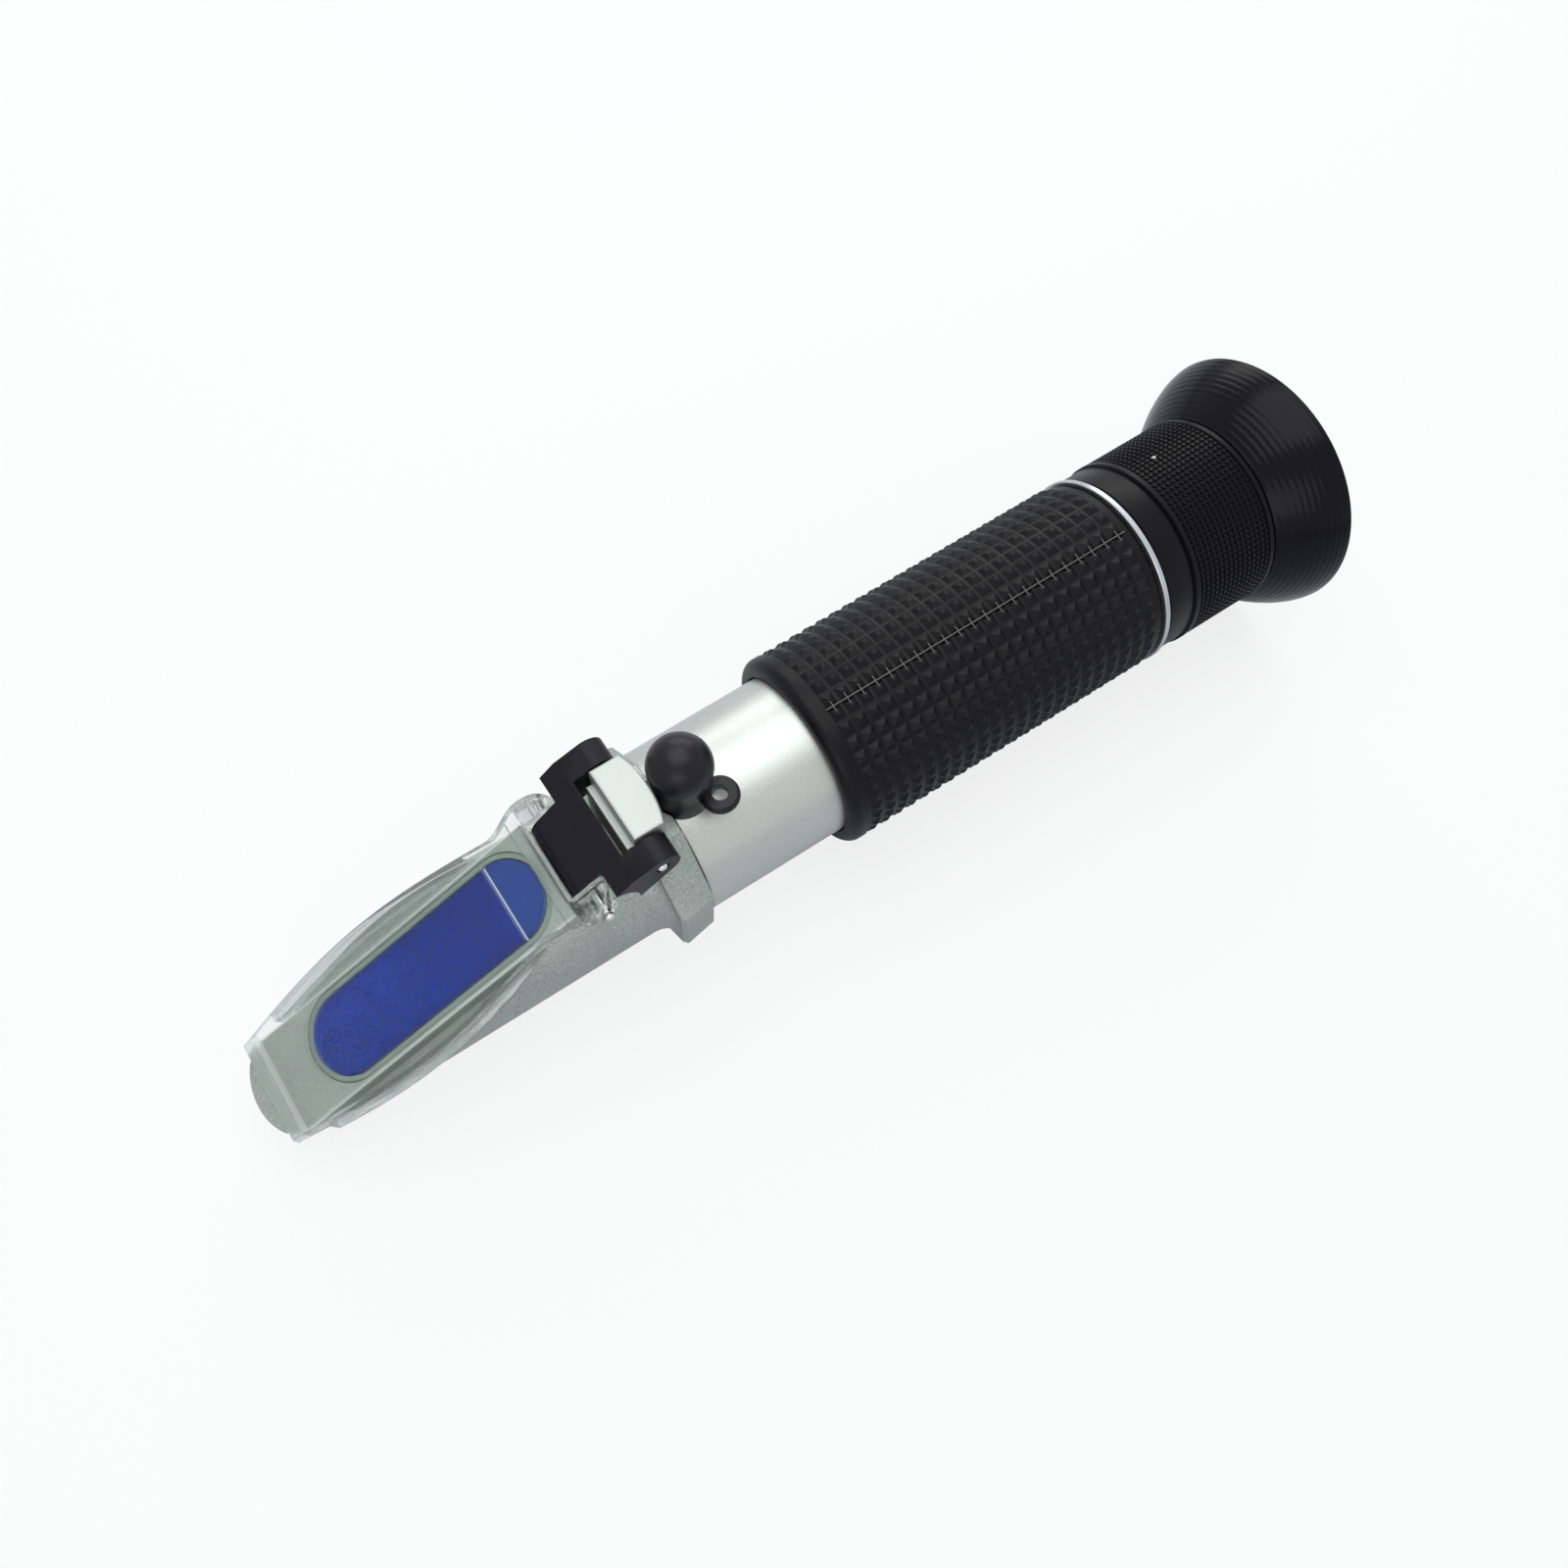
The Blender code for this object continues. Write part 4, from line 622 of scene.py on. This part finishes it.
# Seal: a bead of pale olive cement in the gap round the prism, 0.8 mm wide.
# It is laid in soft and struck off flush, so its surface stays faintly uneven.
cement = grained("cement", (0.27, 0.33, 0.29), (0.17, 0.21, 0.18), roughness=0.55, scale=1400,
                 relief=0.00005, vary=0.2)
bead_half, bead_inside, bead_depth = 0.0068, 0.0060, 0.002
bead = solid("cement_bead", upright(stadium(bead_half), face_lift - bead_depth, face_lift), face_frame,
             cement)
bead_hole = solid("bead_hole", upright(stadium(bead_inside), face_lift - 2 * bead_depth, face_lift + overrun),
                  face_frame)
combine(bead, (bead_hole,))
soften(bead, width=0.0002, segments=3)
settle(bead)
fit(bead, "housing", "seal_bead", "prism_seal")

# Body tube: drawn and satin-finished metal, 25 mm across, 77 mm long, mostly inside the grip.
# Its finish is very fine brushing round the tube, a little duller in soft bands.
brushed = grained("satin_tube", (0.52, 0.55, 0.53), (0.42, 0.45, 0.43), roughness=0.38, metallic=0.80,
                  stretch=6.0, relief=0.000012, vary=0.12, contrast=3.0)
tube_front, tube_end, tube_radius, tube_bore = 0.003, 0.0796, 0.0125, 0.0115
tube_outline = [(tube_front + fine_edge, tube_radius), (tube_end, tube_radius), (tube_end, tube_bore),
                (tube_front, tube_bore), (tube_front, tube_radius - fine_edge)]
tube = solid("satin_tube", turned(tube_outline, steps=192), look=brushed)
tube_bush_room = solid("tube_bush_room", bore((screw_x, 0, bush_foot), (0, 0, 1), clear_above, bush_bore))
grub_bore, grub_foot, grub_top, grub_angle = 0.00115, 0.0087, 0.015, math.radians(120)
grub_rooms = [solid("grub_room", rod((screw_x, 0, 0), (0, math.sin(a), math.cos(a)),
                                     [(grub_foot, grub_bore), (grub_top, grub_bore)], steps=48))
              for a in (grub_angle, -grub_angle)]
combine(tube, (tube_bush_room, *grub_rooms))
settle(tube)
fit(tube, "housing", "tube_metal", "body_tube")


# Calibration cap: a black rubber plug, 8.4 mm across, with a 9 mm ball on top, over the calibration screw.
# A ring-shaped tab to pull it by stands off to one side. The rubber is nearly black, softly glossy.
soft_black = grained("cap_rubber", (0.005, 0.004, 0.007), (0.002, 0.002, 0.003), roughness=0.36,
                     scale=1800, relief=0.00001, vary=0.12, Coat_Weight=0.08, Coat_Roughness=0.2,
                     Specular_IOR_Level=0.22)
cap_place = Matrix.Translation((screw_x, 0, axis_height))
cap_radius, cap_neck_radius, cap_bore_radius = 0.0042, 0.00405, 0.0033
shoulder_low, shoulder_high, cap_top = 0.0150, 0.0156, 0.0200
neck = [(cap_foot, cap_radius), (shoulder_low, cap_radius), (shoulder_high, cap_neck_radius),
        (cap_top, cap_neck_radius)]
cap = solid("rubber_cap", rod((0, 0, 0), (0, 0, 1), neck, steps=128), cap_place, soft_black)
ball_radius, ball_lean, ball_rise = 0.00448, 0.00015, 0.0199
dome = [(ball_radius * math.sin(a), ball_radius * math.cos(a)) for a in map(math.radians, range(-84, 85, 6))]
ball = solid("ball", rod((ball_lean, 0, ball_rise), (0, 0, 1), dome, steps=128), cap_place)
tab_angle, tab_reach, tab_rise = math.radians(-52), 0.0056, 0.015
tab_half, tab_middle, tab_bulge, tab_bore = 0.0008, 0.0021, 0.0006, 0.0011
tab_centre = (tab_reach * math.cos(tab_angle), tab_reach * math.sin(tab_angle), tab_rise)
tab_place = cap_place @ Matrix.Translation(tab_centre)
tab_sections = [(tab_half * math.sin(a), tab_middle + tab_bulge * math.cos(a))
                for a in map(math.radians, range(-90, 91, 15))]
tab = solid("tab", rod((0, 0, 0), (0, 0, 1), tab_sections, steps=96), tab_place)
tab_hole = solid("tab_hole", bore((0, 0, -overrun), (0, 0, 1), 2 * overrun, tab_bore, steps=64),
                 tab_place)
cap_bore = solid("cap_bore", bore((0, 0, 0), (0, 0, 1), cap_top, cap_bore_radius, steps=64), cap_place)
saddle_front, saddle_rear, saddle_radius = -0.007, 0.02, 0.0128
saddle = solid("saddle", turned([(saddle_front, 0), (saddle_front, saddle_radius),
                                 (saddle_rear, saddle_radius), (saddle_rear, 0)], steps=192))
combine(cap, (ball, tab), "UNION")
combine(cap, (tab_hole, cap_bore, saddle))
soften(cap, width=0.00025, segments=3, angle=40)
settle(cap)
fit(cap, "cap", "black_rubber", "calibration_cap")


# Grip: a black rubber sleeve, 30 mm across and 54.6 mm long, with a rounded collar in front.
# 22 rows of 40 small pyramids, 2.3 mm apart, cover it, and a mould line with fine ticks runs along it.
def repeat_round(name, kind, rows, columns, front, pitch, radius, look, first_angle=0.0):
    """Repeat one raised shape in rows along the axis and columns round it."""
    tree = bpy.data.node_groups.new(name, "GeometryNodeTree")
    tree.interface.new_socket("Geometry", in_out="INPUT", socket_type="NodeSocketGeometry")
    given = {}
    for label, socket, value in (("Rows", "NodeSocketInt", rows), ("Columns", "NodeSocketInt", columns),
                                 ("Front", "NodeSocketFloat", front), ("Pitch", "NodeSocketFloat", pitch),
                                 ("Radius", "NodeSocketFloat", radius),
                                 ("First Angle", "NodeSocketFloat", first_angle),
                                 ("Material", "NodeSocketMaterial", look)):
        made = tree.interface.new_socket(label, in_out="INPUT", socket_type=socket)
        given[made.identifier] = value
    tree.interface.new_socket("Geometry", in_out="OUTPUT", socket_type="NodeSocketGeometry")
    start = tree.nodes.new("NodeGroupInput")
    end = tree.nodes.new("NodeGroupOutput")
    index = tree.nodes.new("GeometryNodeInputIndex")
    row = arithmetic(tree, "FLOOR", arithmetic(tree, "DIVIDE", index.outputs[0], start.outputs["Columns"]), 0)
    column = arithmetic(tree, "MODULO", index.outputs[0], start.outputs["Columns"])
    step = arithmetic(tree, "DIVIDE", 2 * math.pi, start.outputs["Columns"])
    angle = arithmetic(tree, "ADD", product(tree, column, step), start.outputs["First Angle"])
    place = tree.nodes.new("ShaderNodeCombineXYZ")
    behind_front = product(tree, row, start.outputs["Pitch"])
    tree.links.new(arithmetic(tree, "ADD", behind_front, start.outputs["Front"]), place.inputs["X"])
    sideways = product(tree, arithmetic(tree, "SINE", angle, 0), start.outputs["Radius"])
    tree.links.new(product(tree, sideways, -1.0), place.inputs["Y"])
    height = product(tree, arithmetic(tree, "COSINE", angle, 0), start.outputs["Radius"])
    tree.links.new(height, place.inputs["Z"])
    points = tree.nodes.new("GeometryNodePoints")
    count = product(tree, start.outputs["Rows"], start.outputs["Columns"])
    tree.links.new(count, points.inputs["Count"])
    tree.links.new(place.outputs[0], points.inputs["Position"])
    turn = tree.nodes.new("ShaderNodeCombineXYZ")
    tree.links.new(angle, turn.inputs["X"])
    copies = tree.nodes.new("GeometryNodeInstanceOnPoints")
    tree.links.new(points.outputs[0], copies.inputs["Points"])
    tree.links.new(start.outputs["Geometry"], copies.inputs["Instance"])
    tree.links.new(turn.outputs[0], copies.inputs["Rotation"])
    real = tree.nodes.new("GeometryNodeRealizeInstances")
    tree.links.new(copies.outputs[0], real.inputs[0])
    painted = tree.nodes.new("GeometryNodeSetMaterial")
    tree.links.new(real.outputs[0], painted.inputs["Geometry"])
    tree.links.new(start.outputs["Material"], painted.inputs["Material"])
    tree.links.new(painted.outputs[0], end.inputs["Geometry"])
    maker = kind.modifiers.new(name, "NODES")
    maker.node_group = tree
    for identifier, value in given.items():
        maker[identifier] = value
    settle(kind, 20)
    kind.data.transform(on_axis)
    return kind


stud_foot, crown_share = 0.0001, 0.25


def stud(name, half_x, half_y, height, top_share):
    """A low four-sided stud, narrower on top, its foot sunk under the surface it stands on."""
    loops = []
    shoulder = top_share + crown_share * (1 - top_share)
    for z, share in ((-stud_foot, 1.0), (height * (1 - crown_share), shoulder), (height, top_share)):
        loops.append([(x * share, y * share, z) for x, y in
                      ((-half_x, -half_y), (half_x, -half_y), (half_x, half_y), (-half_x, half_y))])
    return solid(name, loft(loops), Matrix.Identity(4), sharp=20)


grip_rubber = grained("grip_rubber", (0.004, 0.004, 0.005), (0.001, 0.001, 0.002), roughness=0.38,
                      scale=1600, vary=0.14, Specular_IOR_Level=0.15)
grip_front, grip_bore, grip_skin, stud_skin = 0.025, 0.0128, 0.01455, 0.0145
collar_radius, collar_round, collar_end, grip_chamfer = 0.015, 0.0016, 0.0275, 0.0003
rows, columns, first_row, row_pitch = 22, 40, 0.02905, 0.0023
pyramid_turn, mould_turn = math.radians(2.5), math.radians(7)
collar = arc((grip_front + collar_round, collar_radius - collar_round), collar_round, 180, 90, 12)
grip_outline = collar + [(collar_end, collar_radius), (collar_end + fine_edge, grip_skin),
                         (tube_end - grip_chamfer, grip_skin), (tube_end, grip_skin - grip_chamfer),
                         (tube_end, grip_bore), (grip_front, grip_bore)]
grip = solid("rubber_grip", turned(grip_outline, steps=160), look=grip_rubber)
fit(grip, "housing", "black_rubber", "grip_sleeve")
pyramid = stud("grip_pyramids", half_x=0.00113, half_y=0.00115, height=0.00050, top_share=0.14)
pyramids = repeat_round("grip_pyramids", pyramid, rows, columns, first_row, row_pitch, stud_skin, grip_rubber,
                        pyramid_turn)
fit(pyramids, "housing", "black_rubber")
line_half, line_rise, tick_half, tick_rise = 0.00005, 0.00048, 0.0009, 0.00040
mould_mark = loft([flat_rectangle(-row_pitch / 2, row_pitch / 2, line_half, z)
                   for z in (-stud_foot, line_rise)])
loft([flat_rectangle(-line_half, line_half, tick_half, z) for z in (-stud_foot, tick_rise)], mould_mark)
flash = grained("mould_flash", (0.16, 0.16, 0.15), (0.08, 0.08, 0.08), roughness=0.5)
mould_line = repeat_round("mould_line", solid("mould_line", mould_mark, Matrix.Identity(4)), rows, 1,
                          first_row, row_pitch, stud_skin, flash, mould_turn)
fit(mould_line, "housing", "black_rubber")

# Trim ring: a thin ring of silvery metal, 0.8 mm wide, turned and left satin.
# It sits on the eyepiece bush, between the grip and the focus ring.
silver = grained("trim_silver", (0.50, 0.52, 0.56), (0.42, 0.44, 0.48), roughness=0.28, metallic=0.9,
                 stretch=3.0, relief=0.000005, vary=0.08)
trim_front, trim_rear, trim_radius, trim_bore, trim_edge = 0.0799, 0.0807, 0.015, 0.0123, 0.00012
trim_outline = [(trim_front, trim_bore), (trim_front, trim_radius - trim_edge),
                (trim_front + trim_edge, trim_radius), (trim_rear - trim_edge, trim_radius),
                (trim_rear, trim_radius - trim_edge), (trim_rear, trim_bore)]
trim = solid("trim", turned(trim_outline, steps=192), look=silver)
fit(trim, "housing", "trim_metal", "trim_ring")


# Focus ring: black, 29.8 mm across and 19.3 mm long, with a plain band in front and a fine mesh of
# ridges over the rest. One small pale dot marks it. It turns on the bush behind the grip.
ring_black = grained("ring_black", (0.004, 0.004, 0.005), (0.001, 0.001, 0.002), roughness=0.36,
                     scale=1600, relief=0.00001, vary=0.12, Specular_IOR_Level=0.12)
ring_skin, ring_edge, ring_chamfer, rim_chamfer = 0.0146, 0.0149, 0.0003, 0.0002
ring_front, band_end, dip_end, dip_radius = 0.081, 0.08505, 0.0855, 0.01445
ring_bead_front, ring_bead_rear, mesh_end, ring_rear = 0.0857, 0.0864, 0.0993, 0.1003
sleeve_radius, sleeve_end, seat_radius, seat_front = 0.0128, 0.1049, 0.0115, 0.0972
web_radius, web_front, ring_bore = 0.0103, 0.0954, 0.0123
ring_outline = [(ring_front, ring_skin - ring_chamfer), (ring_front + ring_chamfer, ring_skin),
                (band_end, ring_skin), (dip_end, dip_radius),
                (ring_bead_front, ring_edge), (ring_bead_rear, ring_edge),
                (ring_bead_rear + fine_edge, ring_skin), (mesh_end, ring_skin),
                (mesh_end + fine_edge, ring_edge), (ring_rear - rim_chamfer, ring_edge),
                (ring_rear, ring_edge - rim_chamfer), (ring_rear, sleeve_radius),
                (sleeve_end, sleeve_radius), (sleeve_end, seat_radius),
                (seat_front, seat_radius), (seat_front, web_radius),
                (web_front, web_radius), (web_front, ring_bore), (ring_front, ring_bore)]
ring = solid("knurled_ring", turned(ring_outline, steps=192), look=ring_black)
fit(ring, "focus_grip", "black_plastic", "focus_ring")
mesh_rows, mesh_columns, mesh_front, mesh_pitch = 15, 104, 0.08698, 0.00085
mesh_stud = stud("ring_mesh", half_x=0.00036, half_y=0.00037, height=0.00026, top_share=0.50)
knurl = repeat_round("ring_mesh", mesh_stud, mesh_rows, mesh_columns, mesh_front, mesh_pitch, ring_skin,
                     ring_black)
fit(knurl, "focus_grip", "black_plastic")
white_paint = grained("dot_paint", (0.55, 0.55, 0.53), (0.45, 0.45, 0.43), roughness=0.5)
dot_angle, dot_x, dot_height = math.radians(-24), 0.0907, 0.0145
dot_radius, dot_rise, dot_top, dot_edge = 0.00028, 0.0004, 0.00022, 0.00002
dot_sections = [(0, dot_radius), (dot_rise - dot_edge, dot_radius), (dot_rise, dot_top)]
dot = solid("ring_dot", rod((dot_x, -dot_height * math.sin(dot_angle), dot_height * math.cos(dot_angle)),
                            (0, -math.sin(dot_angle), math.cos(dot_angle)), dot_sections, steps=24),
            look=white_paint)
fit(dot, "focus_grip", "black_plastic")

# Eyecup: black rubber that flares from 30 to 40 mm, 9 mm long, with fine turned ribs on its outside
# and a thin rim. Inside, a smooth bowl leads down to the hole in front of the eye lens.
cup_rubber = grained("cup_rubber", (0.003, 0.003, 0.005), (0.001, 0.001, 0.002), roughness=0.20,
                     relief=0.00001, vary=0.12, Specular_IOR_Level=0.12)
cup_front, cup_length, cup_root, cup_flare = 0.1004, 0.009, 0.0149, 0.0051
cup_seat, cup_step, eye_hole = 0.0131, 0.1052, 0.011
bowl_floor, bowl_depth, bowl_rim = 0.1062, 0.0032, 0.0193
ribs, rib_steps, rib_depth = 12, 6, 0.00004
cup_outline = []
for i in range(ribs * rib_steps + 1):
    share = i / (ribs * rib_steps)
    dip = rib_depth * (1 - math.cos(2 * math.pi * share * ribs)) / 2 * min(1, ribs * (1 - share))
    radius = cup_root + cup_flare * (1 - (1 - share) ** 1.5)
    cup_outline.append((cup_front + cup_length * share, radius - dip))
for i in range(25):
    share = 1 - i / 24
    cup_outline.append((bowl_floor + bowl_depth * share, bowl_rim - (bowl_rim - cup_seat) * (1 - share) ** 2))
cup_outline += [(bowl_floor, eye_hole), (cup_step, eye_hole), (cup_step, cup_seat), (cup_front, cup_seat)]
eyecup = solid("flared_cup", turned(cup_outline, steps=192), look=cup_rubber, sharp=50)
soften(eyecup, width=0.0002, segments=3, angle=60)
settle(eyecup, 50)
fit(eyecup, "focus_grip", "black_rubber", "eyecup")


# Cover link: black plastic, 19 mm wide, that joins the plate to the lug with a pin at each end.
# In front it is a broad tongue. Behind, two arms straddle the lug and end in round knuckles.
# Its edges are rounded and its moulded skin is slightly pebbled.
link_black = grained("link_plastic", (0.006, 0.005, 0.010), (0.003, 0.002, 0.005), roughness=0.38,
                     scale=1900, vary=0.12, Specular_IOR_Level=0.18)
link_place = Matrix.Translation((lug_pin_x, 0, axis_height + lug_pin_rise))
span_x, span_z, knuckle = 0.0085, 0.0051, 0.0026
crest = (-0.0046, 0.0013)


def touching_angle(centre, outside, turn):
    """Direction from a knuckle's centre to where a line from an outside point touches it."""
    rise = math.atan2(outside[1] - centre[1], outside[0] - centre[0])
    reach = math.hypot(outside[0] - centre[0], outside[1] - centre[1])
    return rise + turn * math.acos(knuckle / reach)


below = math.atan2(span_z, span_x) - math.pi / 2
front_top = touching_angle((-span_x, -span_z), crest, 1) - 2 * math.pi
rear_top = touching_angle((0, 0), crest, -1)
link_outline = arc((-span_x, -span_z), knuckle, math.degrees(below), math.degrees(front_top), 28) + [crest]
link_outline += arc((0, 0), knuckle, math.degrees(rear_top), math.degrees(below), 28)
link_half, beyond_link, tongue_half, ear_room = 0.0097, 0.0136, 0.00566, 0.00485
link = solid("hinge_link", across(link_outline, link_half), link_place, link_black)
slot_front, slot_half = -0.00375, 0.00595
slot_plan = rectangle(slot_front, beyond_link, slot_half)
lug_slot = solid("lug_slot", upright(slot_plan, -beyond_link, beyond_link), link_place)
notches = [solid("notch", bore((-span_x, side * tongue_half, -span_z), (0, side, 0), link_half, ear_room, 96),
                 link_place) for side in (-1, 1)]
arm_bore = solid("arm_bore", bore((0, -beyond_link, 0), (0, 1, 0), 2 * beyond_link, lug_pin_bore), link_place)
tongue_bore = solid("tongue_bore", bore((-span_x, -beyond_link, -span_z), (0, 1, 0), 2 * beyond_link,
                                        plate_pin_bore), link_place)
combine(link, (lug_slot, *notches, arm_bore, tongue_bore))
soften(link, width=0.00022, segments=3)
settle(link)
fit(link, "link", "black_plastic", "cover_link")

# Hinge pins: bright drawn steel. The lug's pin is 1.6 mm thick with rounded ends.
# The plate's pin is 1.24 mm thick, with a small ball end on the near side.
drawn_steel = grained("drawn_steel", (0.72, 0.72, 0.71), (0.60, 0.60, 0.60), roughness=0.22, metallic=1.0,
                      scale=2500, relief=0.000003, vary=0.08)
lug_pin_radius, lug_pin_length = 0.0008, 0.02
round_end = [(lug_pin_radius * (1 - math.cos(a)), lug_pin_radius * math.sin(a))
             for a in map(math.radians, range(15, 91, 15))]
round_pin = round_end + [(lug_pin_length - d, r) for d, r in reversed(round_end)]
lug_pin = solid("lug_pin", rod((lug_pin_x, -lug_pin_length / 2, lug_pin_rise), (0, 1, 0), round_pin,
                              steps=48),
                look=drawn_steel)
fit(lug_pin, "housing", "steel", "link_pin")
plate_pin_radius, plate_pin_length, plate_pin_reach, plate_pin_edge = 0.00062, 0.0197, 0.0104, 0.0001
ball_half, ball_end_radius, ball_neck, pin_end_radius = 0.0005, 0.0007, 0.0010, 0.0005
ball_end = [(ball_half * (1 - math.cos(a)), ball_end_radius * math.sin(a))
            for a in map(math.radians, range(15, 151, 15))]
ball_pin = ball_end + [(ball_neck, plate_pin_radius), (plate_pin_length - plate_pin_edge, plate_pin_radius),
                       (plate_pin_length, pin_end_radius)]
plate_pin = solid("ball_pin", rod((plate_pin_x, -plate_pin_reach, plate_pin_rise), (0, 1, 0), ball_pin,
                                steps=48),
                  look=drawn_steel)
fit(plate_pin, "link", "steel", "plate_pin")

# Daylight plate: clear acrylic, 58 mm long and 21 mm wide on top, bowed at the sides, with shallow
# skirts and two ears round the pin. Its edges are softened, and a groove sets off a strip at each end.
# It is faintly green, nearly clear from above and denser at grazing angles, and its side walls get a dark
# band of painted shade.
acrylic = glass("clear_acrylic", (0.86, 0.94, 0.91), roughness=0.02, ior=1.49, Specular_IOR_Level=0.3)
tree, shader, coloured = opened(acrylic)
facing = add_node(tree, "ShaderNodeLayerWeight")
facing.inputs["Blend"].default_value = 0.35
down, aside, lift = slope_places(tree)
grazing_green, skirt_green = (0.34, 0.42, 0.39), (0.34, 0.41, 0.38)
wall_painted_shade, strip_pale = (0.13, 0.17, 0.15), (0.84, 0.90, 0.88)
facing_fade, strip_edge, skirt_fade = (0.20, 0.70), (0.0062, 0.0060), (0.0018, 0.0014)
wall_foot, wall_down, top_edge = (0.0018, 0.0020), (0.0030, 0.0040), (0.00342, 0.00338)
clear_alpha, dense_alpha, strip_alpha, skirt_alpha, wall_share = 0.20, 0.92, 0.85, 0.80, 0.75
dense = ramp(tree, facing.outputs["Facing"], *facing_fade)
front_groove, rear_groove, groove_half, groove_depth = 0.0528, 0.0042, 0.0001, 0.00012
before_rear = ramp(tree, down, rear_groove + groove_half, rear_groove - groove_half)
rear_strip = product(tree, before_rear, ramp(tree, aside, *strip_edge))
past_front = ramp(tree, down, front_groove - groove_half, front_groove + groove_half)
strips = arithmetic(tree, "MAXIMUM", past_front, rear_strip)
coloured = blend_colours(tree, dense, coloured, grazing_green)
skirts = ramp(tree, lift, *skirt_fade)
coloured = blend_colours(tree, skirts, coloured, skirt_green)
# Painted shade: the upper part of the plate's side walls, just under the top edge, is darkened and made
# denser.
under_top = ramp(tree, lift, *top_edge, to_high=wall_share)
wall = product(tree, ramp(tree, lift, *wall_foot), under_top)
wall = product(tree, wall, ramp(tree, down, *wall_down))
coloured = blend_colours(tree, wall, coloured, wall_painted_shade)
tree.links.new(blend_colours(tree, strips, coloured, strip_pale), shader.inputs["Base Color"])
polish, frosting = 0.02, 0.40
dulled = arithmetic(tree, "ADD", product(tree, strips, frosting), polish)
tree.links.new(dulled, shader.inputs["Roughness"])
veil = arithmetic(tree, "MAXIMUM",
                  ramp(tree, facing.outputs["Facing"], *facing_fade, clear_alpha, dense_alpha),
                  product(tree, strips, strip_alpha))
sides = arithmetic(tree, "MAXIMUM", wall, product(tree, skirts, skirt_alpha))
tree.links.new(arithmetic(tree, "MAXIMUM", veil, sides), shader.inputs["Alpha"])


plate_end, widest, waist, ear_front = 0.0547, 0.0312, 0.00766, 0.00163
front_bow, rear_bow, waist_half = 0.0235, 0.02354, 0.00785
front_half, front_swell, rear_swell, ear_swell = 0.00765, 0.0028, 0.0026, 0.00165
ear_length, ear_inside, ear_width = 0.0046, 0.0064, 0.0031
plate_top, plate_depth, wall_lean, skirt_foot = 0.00345, 0.00355, 0.0009, -0.0022
plate_crown = ((0.00035, 0), (groove_depth, 0.0001), (0, 0.0003))


def half_width(down):
    """Half width of the plate's top at a distance down the slope from its pin."""
    if down >= widest:
        return front_half + front_swell * math.sin(math.pi / 2 * (plate_end - down) / front_bow)
    if down >= waist:
        return waist_half + rear_swell * math.cos(math.pi / 2 * (widest - down) / rear_bow)
    if down >= ear_front:
        return waist_half + ear_swell * (1 - math.cos(math.pi * (waist - down) / (waist - ear_front))) / 2
    share = (ear_front - down) / ear_length
    return ear_inside + ear_width * math.sqrt(max(0, 1 - share ** 2))


def evenly(first, last, count):
    return [first + (last - first) * i / count for i in range(count)]


def plate_loop(height, inset=0.0):
    lean = (plate_top - height) / plate_depth
    downs = evenly(plate_end, widest, 24) + evenly(widest, waist, 24) + evenly(waist, ear_front, 14)
    downs += [ear_front - ear_length * math.sin(math.radians(90 * i / 10)) for i in range(11)]
    half = []
    for down in downs:
        lean_here = wall_lean * math.sin(math.pi / 2 * min(1, max(0, (down - waist) / rear_bow)))
        half.append((-down, inset - half_width(down) - lean_here * lean))
    half[0] = (inset - plate_end - wall_lean * lean, half[0][1])
    return [(x, y, height) for x, y in half + [(x, -y) for x, y in reversed(half)]]


blank = loft([plate_loop(skirt_foot)] + [plate_loop(plate_top - drop, inset) for drop, inset in plate_crown])
bmesh.ops.triangulate(blank, faces=blank.faces)
plate = solid("daylight_cover", blank, face_frame, acrylic)
past_end, past_side, below_skirt, past_ears = -0.0576, 0.0125, -0.0039, 0.005
skirt_front, skirt_rear, skirt_wall, sheet_under = 0.0495, 0.0125, 0.0009, 0.0017
least_room_half, sheet_end, ear_gap_half, boss_radius = 0.0081, 0.0029, 0.0063, 0.0019
skirt_lift, skirt_end, ear_skirt_lift = -0.0001, -0.0026, 0.00085
gap_front, gap_half, gap_top = -0.0024, 0.0060, 0.005
room_half = [(past_end, -past_side), (-skirt_front, -past_side)]
room_half += [(-down, -max(least_room_half, half_width(down) - skirt_wall))
              for down in evenly(skirt_front, skirt_rear, 24) + [skirt_rear]]
room_half += [(-skirt_rear, -past_side), (-sheet_end, -past_side), (-sheet_end, -ear_gap_half),
              (past_ears, -ear_gap_half)]
room_plan = room_half + [(x, -y) for x, y in reversed(room_half)]
under_sheet = solid("under_sheet", upright(room_plan, below_skirt, sheet_under), face_frame)
boss = arc((0, 0), boss_radius, 200, 320, 24)
skirt_section = [(past_end, skirt_lift), (skirt_end, skirt_lift)] + boss
skirt_section += [(past_ears, ear_skirt_lift), (past_ears, below_skirt), (past_end, below_skirt)]
under_skirt = solid("under_skirt", across(skirt_section, past_side), face_frame)
between_ears = solid("between_ears", upright(rectangle(gap_front, past_ears, gap_half), 0, gap_top),
                     face_frame)
ear_bore = solid("ear_bore", bore((0, -past_side, 0), (0, 1, 0), 2 * past_side, plate_pin_bore), face_frame)
grooves = [solid("groove", upright(rectangle(-down - groove_half, -down + groove_half, past_side),
                                   plate_top - groove_depth, plate_top + overrun), face_frame)
           for down in (front_groove, rear_groove)]
combine(plate, (under_sheet, under_skirt, between_ears, ear_bore, *grooves))
settle(plate, 30)
fit(plate, "plate", "clear_acrylic", "daylight_plate")
